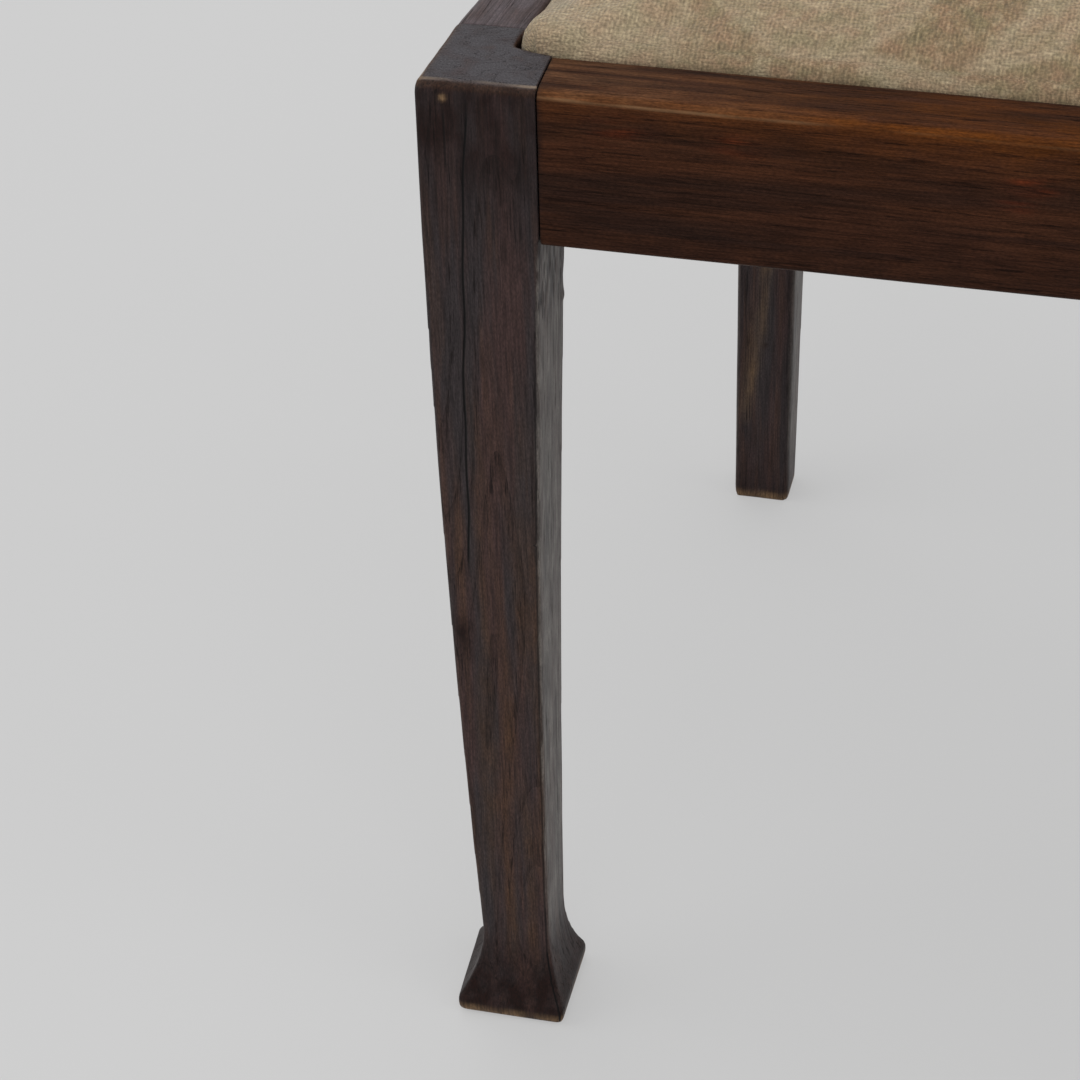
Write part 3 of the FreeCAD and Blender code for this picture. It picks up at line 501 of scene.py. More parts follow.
def oak(name, grain, tones, turn=0.0):
    """Stained and waxed oak. Tones are hex colours; turn leads the grain off its axis, in degrees."""
    material, tree = empty_material(name)
    noises = grain_noises(tree, grain, GRAIN_LAYERS, turn)
    dark = dark_figure(tree, noises)
    stain = add(tree, "ShaderNodeMapRange", {"interpolation_type": "SMOOTHSTEP"},
                {"Value": noises["stain"], "From Min": 0.38, "From Max": 0.62})
    body = add(tree, "ShaderNodeMix", {"data_type": "RGBA"},
               {0: stain, 6: linear(tones["dark"]), 7: linear(tones["body"])})
    warm = add(tree, "ShaderNodeMapRange", {"interpolation_type": "SMOOTHSTEP"},
               {"Value": noises["streaks"], "From Min": 0.5, "From Max": 0.7, "To Max": 0.45})
    body = add(tree, "ShaderNodeMix", {"data_type": "RGBA"}, {0: warm, 6: body, 7: linear(tones["warm"])})
    for mark in MARKS:
        amount = add(tree, "ShaderNodeAttribute", {"attribute_name": mark}).outputs["Fac"]
        ragged = add(tree, "ShaderNodeMapRange", inputs={
            "Value": noises["cloud"], "From Min": 0.35, "From Max": 0.65, "To Min": 0.55, "To Max": 1.2})
        amount = add(tree, "ShaderNodeMath", {"operation": "MULTIPLY", "use_clamp": True},
                     {0: amount, 1: ragged})
        body = add(tree, "ShaderNodeMix", {"data_type": "RGBA"},
                   {0: amount, 6: body, 7: linear(tones[mark])})
    deep = add(tree, "ShaderNodeMath", {"operation": "MULTIPLY"}, {0: dark, 1: 0.75})
    body = add(tree, "ShaderNodeMix", {"data_type": "RGBA"},
               {0: deep, 6: body, 7: linear(tones["vessel"])})
    for layer, low, high in (("fibres", 0.68, 1.32), ("pores", 0.74, 1.26)):
        shade = add(tree, "ShaderNodeMapRange", inputs={
            "Value": noises[layer], "From Min": 0.3, "From Max": 0.7, "To Min": low, "To Max": high})
        body = add(tree, "ShaderNodeVectorMath", {"operation": "SCALE"}, {0: body, "Scale": shade})
    line = drawn_line(tree)
    # The pale line is wear with a painted highlight; the dark line is a crack.
    for mark, tone in (("pale_line", tones["line"]), ("dark_line", CRACK_TONE)):
        amount = add(tree, "ShaderNodeAttribute", {"attribute_name": mark}).outputs["Fac"]
        amount = add(tree, "ShaderNodeMath", {"operation": "MULTIPLY"}, {0: amount, 1: line})
        body = add(tree, "ShaderNodeMix", {"data_type": "RGBA"}, {0: amount, 6: body, 7: linear(tone)})
    rough = add(tree, "ShaderNodeMapRange", inputs={
        "Value": dark, "To Min": tones["gloss"], "To Max": 0.75})
    height = add(tree, "ShaderNodeMath", {"operation": "MULTIPLY_ADD"},
                 {0: dark, 1: -0.8, 2: noises["fibres"]})
    height = add(tree, "ShaderNodeMath", {"operation": "MULTIPLY_ADD"}, {0: amount, 1: -2.5, 2: height})
    end_material(tree, {"Base Color": body, "Roughness": rough, "IOR": tones["ior"]}, height, 0.5, 0.2 * MM)
    return material


# In the dark oak the end grain and glow tones are greys for a painted sheen, and the line tone is partly a
# painted highlight.
DARK_TONES = {
    "dark": "#302a2b", "body": "#3b2b29", "warm": "#433027", "vessel": "#120c0b", "end_grain": "#434043",
    "patch": "#4a3322", "glow": "#6a6560", "soot": "#1c0d0a", "wear": "#7d6348", "line": "#8f7d6a",
    "gloss": 0.42, "ior": 1.23,
}
# In the red rail the glow tone is the painted highlight on the rounded top edge, and also warms the band
# under it and the top; the wear tone also gives a painted sheen on the top near the ends, and the line tone
# is partly a painted highlight.
RED_TONES = {
    "dark": "#2c1b14", "body": "#3b2216", "warm": "#46291a", "vessel": "#130a07", "end_grain": "#33241d",
    "patch": "#742c12", "glow": "#5e320b", "soot": "#1d1310", "wear": "#6f4f38", "line": "#9c7d5c",
    "gloss": 0.4, "ior": 1.12,
}
# On the side rails the patch tone is their grey top: dust and a painted sheen.
GREY_TONES = dict(RED_TONES, patch="#4b4144", wear="#5a4a42", line="#6d5c52", ior=1.33)
SIDE_RAIL_TURN = 6.4
oak_upright = oak("stained_oak_upright", "Z", DARK_TONES)
oak_across = oak("stained_oak_across", "X", DARK_TONES)
oak_rail = oak("red_oak_across", "X", RED_TONES)
oak_rail_left = oak("red_oak_left", "Y", GREY_TONES, SIDE_RAIL_TURN)
oak_rail_right = oak("red_oak_right", "Y", GREY_TONES, -SIDE_RAIL_TURN)
print("oak finishes", oak_upright.name, oak_across.name, oak_rail.name)

# %% [markdown]
# ## The frame
# Every wooden piece of the frame gets its worn copy. The legs are seen close, so their voxels are the
# smallest. Tops of legs and posts are end grain: the points that face straight up are marked, and
# painted grey for the end grain and a painted sheen.

# %% Wear the frame
FRAME_WOOD = {
    "front_leg_left": (1.05 * MM, 2, oak_upright), "front_leg_right": (1.3 * MM, 2, oak_upright),
    "back_post_left": (1.6 * MM, 2, oak_upright), "back_post_right": (1.7 * MM, 2, oak_upright),
    "front_seat_rail": (1.1 * MM, 3, oak_rail), "back_seat_rail": (1.5 * MM, 2, oak_rail),
    "side_seat_rail_left": (1.2 * MM, 2, oak_rail_left),
    "side_seat_rail_right": (1.4 * MM, 2, oak_rail_right),
    "crest_rail": (1.6 * MM, 2, oak_across), "lower_back_rail": (1.5 * MM, 2, oak_across),
    "centre_splat": (1.4 * MM, 5, oak_upright),
    "side_slat_left": (1.2 * MM, 5, oak_upright), "side_slat_right": (1.2 * MM, 5, oak_upright),
}
worn = {}
for number, (node, (voxel, rounds, finish)) in enumerate(FRAME_WOOD.items()):
    worn[node] = worn_copy(node, voxel, rounds, 3 * number + 1)
    dress(worn[node], finish, node)
print("frame", sum(len(p.data.polygons) for p in worn.values()), "faces")

# %% [markdown]
# ## Marks of use
# What makes one old leg unlike the next is what has happened to it: it has dried and split, been
# kicked and scuffed at the foot, and chipped along an edge. These marks lie where the photograph has
# them. Each is worked out from the distance of a point to a line or a spot, then painted or pushed in.
# Painted light is worked out the same way: a sheen on the inner face and the top, a highlight along
# the top edge, and shade in the notch under the seat.

# %% Cracks, chips and scuffs on the front legs, and their painted sheen, highlight and shade
CRACK_MIDDLE = (-222.4 * MM, 272 * MM)
CRACK_LEAN = 0.0155
CRACK_BOW = 0.12
CRACK_WAVER = 0.5 * MM
CRACK_WAVES = (9 * MM, 31 * MM)
CRACK_NEAR = 1.4 * MM
CRACK_FAR = 2.6 * MM
CRACK_RANGE = (243 * MM, 436 * MM)
SHORT_CRACK_X = -224.3 * MM
SHORT_CRACK_RANGE = (418 * MM, 438 * MM)
FOOT_CRACK_RANGE = (4 * MM, 34 * MM)
FOOT_CRACK_IN = 1.2 * MM
ARRIS_LINE_RANGE = (0, 330 * MM)
CHIPS = ((347 * MM, 16 * MM, 1.5 * MM), (329 * MM, 30 * MM, 0.9 * MM))
CHIP_REACH = 3.5 * MM
KNOT_PLACE = (-227.5 * MM, 203 * MM)
KNOT_SIZE = (4.0 * MM, 9.0 * MM)
LUMP_PLACE = np.array([-191.0, -201.7, 343.0]) * MM
LUMP_SIZE = 2.6 * MM
LUMP_HEIGHT = 1.0 * MM
DOT_PLACE = np.array([-224.4, -241.0, 445.1]) * MM
DOT_SIZE = 1.1 * MM
SCUFF_CORNER = (220 * MM, 230 * MM)
LEG_NOTCH_X = 207 * MM
LEG_NOTCH_Y = -212 * MM
LEG_NOTCH_DEEP = 22 * MM
TORN_RANGE = (356 * MM, 384 * MM)
TORN_DEPTH = 0.35 * MM
TOP_EDGE_IN = 3.2 * MM
TOP_RUBBED = 4.6 * MM
CORNER_RUBBED = 8.0 * MM
FACING = 0.6


def near_spot(points, place, radius):
    """A soft round spot: 1 at its middle, falling to nothing a few radii away."""
    return np.exp(-(np.linalg.norm(points - place, axis=1) / radius) ** 2)


def within(values, limits, fade):
    """1 inside the limits, fading to 0 over this distance beyond each of them."""
    return ramp(values, limits[0] - fade, limits[0]) * ramp(values, limits[1] + fade, limits[1])


def corner_line(points):
    """The x and y of the leg's front inner arris at each point's height."""
    level = np.round(points[:, 2] / MM).astype(int)
    level -= level.min()
    inner = np.full(level.max() + 1, -1.0)
    front = np.full(level.max() + 1, 1.0)
    np.maximum.at(inner, level, points[:, 0])
    np.minimum.at(front, level, points[:, 1])
    return inner[level], front[level]


def split_leg(points, normals):
    """The cracks of the left leg: a long and a short one on its front, and one down its foot's arris."""
    on_front = normals[:, 1] < -FACING
    z = points[:, 2]
    rise = z - CRACK_MIDDLE[1]
    long_crack = points[:, 0] - (CRACK_MIDDLE[0] + CRACK_LEAN * rise + CRACK_BOW * rise ** 2)
    long_crack += CRACK_WAVER * np.sin(z / CRACK_WAVES[0]) * np.sin(z / CRACK_WAVES[1])
    short_crack = points[:, 0] - SHORT_CRACK_X
    inner, front = corner_line(points)
    foot_crack = points[:, 0] - inner + points[:, 1] - front + FOOT_CRACK_IN
    line = np.ones(len(points)) * LINE_SPAN
    shown = np.zeros(len(points))
    arris = np.maximum(within(z, FOOT_CRACK_RANGE, 5 * MM), 0.6 * within(z, ARRIS_LINE_RANGE, 30 * MM))
    for offset, where in ((long_crack, on_front * within(z, CRACK_RANGE, 12 * MM)),
                          (short_crack, on_front * within(z, SHORT_CRACK_RANGE, 4 * MM) * 0.7),
                          (foot_crack, arris)):
        here = (np.abs(offset) < CRACK_FAR) & (where > 0)
        line[here] = offset[here]
        shown[here] = (where * ramp(np.abs(offset), CRACK_FAR, CRACK_NEAR))[here]
    return line, shown


def rub_top(points, outer, front):
    """Round a leg's top edges further on its front and outer sides, and most where these two meet."""
    x, y, z = points.T
    inward = np.stack([outer - np.abs(x), y - front, RAIL_TOP - z], axis=1)
    corner = ramp(inward[:, :2].max(axis=1), 2 * CORNER_RUBBED, 0)
    radius = TOP_RUBBED + (CORNER_RUBBED - TOP_RUBBED) * corner
    past = np.maximum(radius[:, None] - inward, 0)
    reach = np.maximum(np.linalg.norm(past, axis=1), 1e-9)
    push = np.maximum(reach - radius, 0) * ramp(past[:, 2], 0, radius / 2) / reach
    return past * push[:, None] * np.stack([-np.sign(x), np.ones(len(x)), -np.ones(len(x))], axis=1)


def mark_leg(piece, side):
    """Scuff a front leg, paint its sheen, highlight and shade: side is -1 for the left, cracked and chipped
    one.
    """
    mesh = piece.data
    points, normals = read_points(mesh), read_normals(mesh)
    x, y, z = points.T
    outer, front = np.abs(x).max() - 1.0 * MM, cad_low.y + 1.0 * MM
    # End grain on the top, painted grey for the end grain and a painted sheen.
    end = ramp(normals[:, 2], 0.8, 0.95) * ramp(z, RAIL_TOP - 3 * MM, RAIL_TOP - 1 * MM)
    # Darker at the foot and high on the front.
    foot = ramp(z, 44 * MM, 16 * MM)
    high_front = ramp(z, 375 * MM, 430 * MM) * ramp(-normals[:, 1], 0.2, FACING)
    soot = np.maximum(foot, high_front * 0.8)
    spread = ((x - KNOT_PLACE[0]) / KNOT_SIZE[0]) ** 2 + ((z - KNOT_PLACE[1]) / KNOT_SIZE[1]) ** 2
    soot = np.maximum(soot, np.exp(-spread) * (normals[:, 1] < -0.2))
    scuffed = 0.75 + 0.9 * noise_at(points, 9 * MM, 31) + 0.4 * ramp(np.abs(x), *SCUFF_CORNER)
    scuffed *= ramp(z, 7 * MM, 2.5 * MM)
    on_inner = ramp(-normals[:, 0] * side, 0.3, FACING)
    # Painted sheen: a pale grey on the leg's inner face, in the glow tone.
    bloom = on_inner * ramp(z, 30 * MM, 60 * MM) * ramp(z, RAIL_LOW, RAIL_LOW - 8 * MM)
    warm_noise = noise_at(points, (5 * MM, 5 * MM, 70 * MM), 37)
    warmed = ramp(z, 340 * MM, 240 * MM) * ramp(-normals[:, 1], 0.2, FACING) * ramp(warm_noise, -0.3, 0.5)
    torn_noise = noise_at(points, (2.2 * MM, 2.2 * MM, 9 * MM), 33)
    torn = on_inner * within(z, TORN_RANGE, 12 * MM) * ramp(torn_noise, -0.05, 0.3)
    move = -normals * (torn * TORN_DEPTH)[:, None] + rub_top(points, outer + MM, cad_low.y)
    edge = np.minimum(y - front, outer - np.abs(x)) - TOP_EDGE_IN + noise_at(points, 6 * MM, 39) * 0.4 * MM
    rounded = within(z, (RAIL_TOP - 3.4 * MM, RAIL_TOP - 0.8 * MM), 0.8 * MM)
    rounded *= ramp(normals[:, 2], 0.15, 0.4)
    line, dark = np.clip(edge / 1.5, -LINE_SPAN, LINE_SPAN), np.zeros(len(points))
    # The pale line along the top edge: wear with a painted highlight.
    pale = within(z, (RAIL_TOP - 1.6 * MM, RAIL_TOP + MM), 0.8 * MM)
    spot = np.zeros(len(points))
    if side < 0:
        crack, dark = split_leg(points, normals)
        line = np.where(dark > 0, crack, line)
        pale = np.where(dark > 0, 0, pale)
        spot = near_spot(points, DOT_PLACE, DOT_SIZE)
        for top, length, depth in CHIPS:
            on_edge = ramp(x, -outer + CHIP_REACH, -outer) * ramp(y, front + CHIP_REACH, front)
            move[:, 0] += depth * on_edge * (z < top) * ramp(z, top - length, top)
        move[:, 0] += near_spot(points, LUMP_PLACE, LUMP_SIZE) * LUMP_HEIGHT
    write_points(mesh, points + move)
    ridged = noise_at(points, (1.3 * MM, 1.3 * MM, 24 * MM), 49)
    # Painted shade in the notch under the seat's corner, on faces that do not face up.
    in_notch = (np.abs(x) < LEG_NOTCH_X) & (y > LEG_NOTCH_Y) & (z > RAIL_TOP - LEG_NOTCH_DEEP)
    soot = np.maximum(np.maximum(soot, torn * 0.9), in_notch * ramp(normals[:, 2], 0.6, 0.2))
    paint(mesh, end_grain=end, soot=soot, wear=np.maximum(scuffed, spot * 1.5),
          glow=bloom * (0.6 + 0.7 * ridged) * (1 - 0.7 * torn),
          patch=np.maximum(warmed * 0.6 * (1 - foot), rounded),
          line=0.5 + line / (2 * LINE_SPAN), dark_line=dark,
          pale_line=pale * (0.3 + 0.8 * noise_at(points, 11 * MM, 35)))


mark_leg(worn["front_leg_left"], -1)
mark_leg(worn["front_leg_right"], 1)
print("leg", len(worn["front_leg_left"].data.polygons), "faces")

# %% [markdown]
# The front rail has been handled along its top for years. Its rounded edge gets a golden painted
# highlight, paler still towards both ends, where its top also gets a painted sheen; grime has gathered
# in its joints with the legs, and painted shade with grime lies along its top beside the cover. The side
# rails' tops are grey with dust and a painted sheen, the posts' sides get a painted sheen, and the left
# post has a pale streak and a small hole.

# %% Painted highlights, sheen and shade, and stains on the rails and posts
GLOW_DEPTH = 9 * MM
LIP_WIDTH = 26 * MM
RAIL_MIDDLE = (185 * MM, 25 * MM)
RAIL_ENDS = (70 * MM, 175 * MM)
GRIME_RANGE = (188.2 * MM, 190.2 * MM)
PALE_LINE_DROP = 2.8 * MM
BLUSHES = ((-17, 433, 3.5), (-23, 424, 2.5), (-161, 439, 5), (-120, 437, 4))
STREAK_TOP = (-175.5 * MM, 137 * MM)
STREAK_LOW = (-184.9 * MM, 56 * MM)
STREAK_HALF = 3.2 * MM
POST_MIDDLE = 175.5 * MM
HOLE_PLACE = np.array([-175.6, 153.0, 94.6]) * MM
HOLE_RADIUS = 1.1 * MM
FLUSH_OUT = 2.0 * MM
FLUSH_DEEP = 12 * MM
FLUSH_LENGTH = 55 * MM


def mark_front_rail(piece):
    """A painted highlight on the rounded top edge, a warm band under it, red patches, a darker lower half,
    grimy ends, and painted sheen and shade on its top.
    """
    mesh = piece.data
    points, normals = read_points(mesh), read_normals(mesh)
    x, y, z = points.T
    front = cad_low.y + 1.0 * MM
    middle = ramp(np.abs(x), *RAIL_MIDDLE)
    ends = ramp(np.abs(x), *RAIL_ENDS)
    on_face = ramp(-normals[:, 1], 0.3, 0.8)
    on_top = ramp(normals[:, 2], 0.5, 0.9) * ramp(z, RAIL_TOP - 3 * MM, RAIL_TOP - 1 * MM)
    rounded = np.clip(-2 * normals[:, 1] * normals[:, 2], 0, 1)
    band = on_face * np.exp(-(RAIL_TOP - z) / GLOW_DEPTH) * (0.45 + 0.4 * middle)
    beside = ramp(y, front, front + LIP_WIDTH)
    smeared = noise_at(points, (45 * MM, 3 * MM, 3 * MM), 55)
    # A warm top, with less of it beside the cover, where part of the painted shade lies.
    lip = on_top * (0.55 - 0.25 * beside - 0.1 * middle + 0.35 * smeared)
    # Painted highlight along the rounded top edge, in the glow tone.
    gold = rounded * (0.9 - 0.25 * middle + 0.15 * smeared)
    blush = np.zeros(len(points))
    for at_x, at_z, radius in BLUSHES:
        spread = ((x / MM - at_x) / (2.2 * radius)) ** 2 + ((z / MM - at_z) / radius) ** 2
        blush = np.maximum(blush, on_face * np.exp(-spread))
    lower = on_face * ramp(z, RAIL_TOP - 24 * MM, RAIL_LOW + 8 * MM)
    streaked = ramp(noise_at(points, (16 * MM, 3 * MM, 1.6 * MM), 45), -0.3, 0.4)
    grimy = ramp(np.abs(x), *GRIME_RANGE) ** 2 * (0.8 + 0.5 * noise_at(points, 8 * MM, 57))
    # Darker lower half of the face, and painted shade with grime on the top beside the cover.
    soot = np.maximum(lower * 0.45, on_top * beside * (0.35 - 0.5 * smeared))
    drop = RAIL_TOP - z - PALE_LINE_DROP + noise_at(points, (18 * MM, 5 * MM, 5 * MM), 47) * 0.5 * MM
    broken = ramp(noise_at(points, (22 * MM, 4 * MM, 4 * MM), 41), -0.4, 0.5)
    # The rubbed rounded edge, and a painted sheen on the top; both are kept to the ends below.
    wear = np.maximum(rounded * (0.3 + 0.4 * broken), on_top * (0.25 + 0.4 * smeared))
    # Glow holds the painted highlight on the edge and the warm band and top; the pale line is wear with a
    # painted highlight.
    paint(mesh, glow=np.maximum(np.maximum(band, lip * (1 - 0.5 * ends)), gold),
          patch=blush * streaked * np.where(x > -60 * MM, 0.6, 0.3),
          soot=np.maximum(soot, grimy), wear=wear * ends,
          line=0.5 + np.clip(drop / 1.3, -LINE_SPAN, LINE_SPAN) / (2 * LINE_SPAN),
          pale_line=rounded * (0.2 * broken + 0.5 * ends * (0.3 + broken)))


def mark_side_rail(piece, side):
    """A grey top of dust and painted sheen, and the front end rubbed flush with the leg's outer face."""
    mesh = piece.data
    points, normals = read_points(mesh), read_normals(mesh)
    level = np.round((points[:, 1] - points[:, 1].min()) / (2 * MM)).astype(int)
    outer = np.zeros(level.max() + 1)
    np.maximum.at(outer, level, points[:, 0] * side)
    drawn = FLUSH_OUT * ramp(outer[level] - points[:, 0] * side, FLUSH_DEEP, 0)
    drawn *= ramp(points[:, 1] - points[:, 1].min(), FLUSH_LENGTH, 0)
    write_points(mesh, points + np.outer(drawn, (side, 0, 0)))
    # The grey top: dust and a painted sheen.
    on_top = ramp(normals[:, 2], -0.1, 0.4) * ramp(points[:, 2], RAIL_TOP - 6 * MM, RAIL_TOP - 3 * MM)
    paint(mesh, patch=on_top * 0.95)


def mark_post(piece, left):
    """End grain with a painted sheen on top, painted sheen on the sides, a scuffed foot; the left post also
    has the streak and the hole.
    """
    mesh = piece.data
    points, normals = read_points(mesh), read_normals(mesh)
    x, y, z = points.T
    # End grain on the top, painted grey for the end grain and a painted sheen.
    end = ramp(normals[:, 2], 0.8, 0.95) * (z > 0.9)
    on_front = ramp(-normals[:, 1], 0.3, 0.8)
    foot = ramp(z, 40 * MM, 10 * MM)
    scuffed = ramp(z, 6 * MM, 2 * MM) * (0.6 + 0.5 * noise_at(points, 9 * MM, 43))
    hole = np.zeros(len(points))
    if left:
        share = (z - STREAK_LOW[1]) / (STREAK_TOP[1] - STREAK_LOW[1])
        off = x - (STREAK_LOW[0] + (STREAK_TOP[0] - STREAK_LOW[0]) * share)
        streak = on_front * np.exp(-(off / STREAK_HALF) ** 2) * within(share, (0.05, 1.4), 0.2)
        streak *= 0.35 + 0.4 * noise_at(points, (3 * MM, 3 * MM, 20 * MM), 53)
        scuffed = np.maximum(scuffed, streak)
        hole = near_spot(points, HOLE_PLACE, HOLE_RADIUS)
    edges = on_front * ramp(np.abs(np.abs(x) - POST_MIDDLE), 7 * MM, 13 * MM) * (z < RAIL_LOW)
    # Glow here is a painted sheen: grey on the post's side faces.
    paint(mesh, end_grain=end, wear=scuffed, glow=ramp(np.abs(normals[:, 0]), 0.3, 0.8) * 0.5 * (1 - foot),
          soot=np.maximum(np.maximum(foot * 0.5, edges * 0.45), hole * 1.5))


mark_front_rail(worn["front_seat_rail"])
mark_side_rail(worn["side_seat_rail_left"], -1)
mark_side_rail(worn["side_seat_rail_right"], 1)
mark_post(worn["back_post_left"], True)
mark_post(worn["back_post_right"], False)
print("rail", len(worn["front_seat_rail"].data.polygons), "faces")

# %% [markdown]
# ## The corner blocks and the seat's frame
# Under the seat the wood is plain beech, sawn and never stained. Beech has no open vessels to see; it
# is known by short brown flecks, which are the ends of its rays. The blocks get worn copies, and the
# seat's frame keeps its packed boards, which the cover wraps.

# %% Beech
BEECH_LAYERS = {"flecks": (0.8, 0.8, 3.0, 1.0), "bands": (5.0, 5.0, 60.0, 3.0)}
BLOCK_ENDS = ("front_left", "front_right", "back_left", "back_right")
BLOCK_VOXEL = 1.3 * MM


def beech(name, grain):
    """Bare sawn beech: pale tan bands along the board, and short brown ray flecks."""
    material, tree = empty_material(name)
    noises = grain_noises(tree, grain, BEECH_LAYERS)
    flecks = add(tree, "ShaderNodeMapRange", inputs={
        "Value": noises["flecks"], "From Min": 0.6, "From Max": 0.7})
    body = add(tree, "ShaderNodeMix", {"data_type": "RGBA"},
               {0: noises["bands"], 6: linear("#8f6b49"), 7: linear("#b58f66")})
    body = add(tree, "ShaderNodeMix", {"data_type": "RGBA"}, {0: flecks, 6: body, 7: linear("#7a5335")})
    end_material(tree, {"Base Color": body, "Roughness": 0.65, "IOR": 1.45}, noises["bands"], 0.4, 0.2 * MM)
    return material


def refinish(node, material):
    """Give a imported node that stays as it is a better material."""
    mesh = frame["nodes"][node].data
    mesh.materials.clear()
    mesh.materials.append(material)


beech_across = beech("sawn_beech_across", "X")
beech_lengthwise = beech("sawn_beech_lengthwise", "Y")
for number, end in enumerate(BLOCK_ENDS):
    block = worn_copy("corner_block_" + end, BLOCK_VOXEL, 1, 50 + 2 * number)
    dress(block, beech_across, "corner_block_" + end)
SEAT_BOARDS = {"front": beech_across, "back": beech_across, "left": beech_lengthwise,
               "right": beech_lengthwise, "dowels": beech_lengthwise}
for board, finish in SEAT_BOARDS.items():
    refinish("seat_frame_" + board, finish)
print("beech pieces", len(BLOCK_ENDS) + len(SEAT_BOARDS))

# %% [markdown]
# ## The seat's cover
# A cover is cut flat, pulled down over the stuffing and tacked under the frame, so it is tight along
# the edges and full in the middle. A closed block with the cover's outer form is remeshed and blown
# up a little as cloth, with its lower edge pinned where the rails hold it. What lies between the rails
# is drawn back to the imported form, which keeps the cut front corners. The underside is then cut open
# inside the turned-in margin, and the sheet gets its thickness.

# %% Blow up the cover
COVER_VOXEL = 5 * MM
COVER_PRESSURE = 4.0
COVER_CAP = 4 * MM
COVER_THICK = 1.0 * MM
COVER_MARGIN = 22 * MM
COVER_FRAMES = 20
SEAT_LUMP_SIZE = 38 * MM
SEAT_LUMP_DEPTH = 0.7 * MM


def cover_hull():
    """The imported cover's outer form as one closed bmesh."""
    shell = merged_copy("seat_cover")
    points = [v.co.copy() for v in shell.verts]
    shell.clear()
    hull = bmesh.ops.convex_hull(shell, input=[shell.verts.new(p) for p in points])
    spare = [g for g in hull["geom_interior"] + hull["geom_unused"] if isinstance(g, bmesh.types.BMVert)]
    bmesh.ops.delete(shell, geom=list(set(spare)), context="VERTS")
    bmesh.ops.recalc_face_normals(shell, faces=shell.faces)
    return shell


def inflate(piece, pressure, cap, held_below):
    """Blow a closed mesh up as cloth, keep what lies low in place, and cap how far a point moves."""
    start = read_points(piece.data)
    held = piece.vertex_groups.new(name="held")
    held.add([i for i, p in enumerate(start) if p[2] < held_below], 1.0, "REPLACE")
    cloth = piece.modifiers.new("cloth", "CLOTH")
    cloth.settings.vertex_group_mass = "held"
    cloth.settings.use_pressure = True
    cloth.settings.uniform_pressure_force = pressure
    cloth.settings.effector_weights.gravity = 0
    for number in range(1, COVER_FRAMES + 1):
        bpy.context.scene.frame_set(number)
    keep_result(piece)
    bpy.context.scene.frame_set(1)
    move = read_points(piece.data) - start
    length = np.maximum(np.linalg.norm(move, axis=1), 1e-9)
    move *= np.minimum(1, cap / length)[:, None]
    write_points(piece.data, start + move)
    return float(np.minimum(length, cap).max())


hull = cover_hull()
outer_form = BVHTree.FromBMesh(hull)
cover = voxel_remesh(shown_piece("upholstered_cover", hull), COVER_VOXEL)
write_points(cover.data, smoothed(read_points(cover.data), read_edges(cover.data), 2))
swell = inflate(cover, COVER_PRESSURE, COVER_CAP, RAIL_TOP + 2 * MM)
print("cover", len(cover.data.polygons), "faces, swells by", round(swell / MM, 1), "mm")

# %% Cut the underside open and give the cloth its thickness
cover_low, cover_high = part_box("seat_cover")
cover_points = read_points(frame["nodes"]["seat_cover"].data)
NOTCH_CORNER = (205.7 * MM, -210 * MM)
NOTCH_REACH = 3 * MM
NOTCH_GAP = 0.4 * MM


def seat_half_width(y):
    """Half the seat's width at this depth: it narrows evenly from front to back."""
    near, far = cover_low.y + 40 * MM, cover_high.y - 40 * MM
    front = np.abs(cover_points[cover_points[:, 1] < near, 0]).max()
    back = np.abs(cover_points[cover_points[:, 1] > far, 0]).max()
    share = (y - cover_low.y) / (cover_high.y - cover_low.y)
    return front + (back - front) * share


def edge_distance(points):
    """How far each point lies inside the seat's plan."""
    side = seat_half_width(points[:, 1]) - np.abs(points[:, 0])
    return np.minimum(side, np.minimum(points[:, 1] - cover_low.y, cover_high.y - points[:, 1]))


def draw_back(piece):
    """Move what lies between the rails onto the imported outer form, and clear of the legs' notches."""
    points = read_points(piece.data)
    share = ramp(points[:, 2], RAIL_TOP + 3 * MM, RAIL_TOP - 1 * MM)
    to_corner = np.stack([np.abs(points[:, 0]) - NOTCH_CORNER[0], points[:, 1] - NOTCH_CORNER[1]], axis=1)
    share = np.maximum(share, ramp(np.linalg.norm(to_corner, axis=1), 30 * MM, 14 * MM))
    for i in np.flatnonzero(share > 0):
        found = np.array(outer_form.find_nearest(Vector(points[i]))[0])
        points[i] += (found - points[i]) * share[i]
    for side in (-1, 1):
        corner = np.array([side * NOTCH_CORNER[0], NOTCH_CORNER[1], RAIL_TOP])
        near = np.exp(-(np.linalg.norm((points - corner)[:, :2], axis=1) / NOTCH_REACH) ** 2)
        points += near[:, None] * np.array([-side * NOTCH_GAP, NOTCH_GAP, 0])
    write_points(piece.data, points)


def open_underside(piece):
    """Cut away the faces of the underside that lie inside the turned-in margin."""
    shell = bmesh.new()
    shell.from_mesh(piece.data)
    middles = np.array([f.calc_center_median() for f in shell.faces])
    inside = (edge_distance(middles) > COVER_MARGIN) & (middles[:, 2] < cover_low.z + 4 * MM)
    bmesh.ops.delete(shell, geom=[f for f, cut in zip(shell.faces, inside) if cut], context="FACES")
    shell.to_mesh(piece.data)
    shell.free()


subdivide = cover.modifiers.new("finer", "SUBSURF")
subdivide.levels = 1
subdivide.render_levels = 1
draw_back(keep_result(cover))
open_underside(cover)
lumps = noise_at(read_points(cover.data), SEAT_LUMP_SIZE, 91) * SEAT_LUMP_DEPTH
lumps *= ramp(read_points(cover.data)[:, 2], RAIL_TOP, RAIL_TOP + 10 * MM)
write_points(cover.data, read_points(cover.data) + read_normals(cover.data) * lumps[:, None])
cover_faces = [face.vertices for face in cover.data.polygons]
cover_form = BVHTree.FromPolygons(read_points(cover.data).tolist(), cover_faces)
thicken(cover, COVER_THICK)
print("cover", len(cover.data.polygons), "faces")

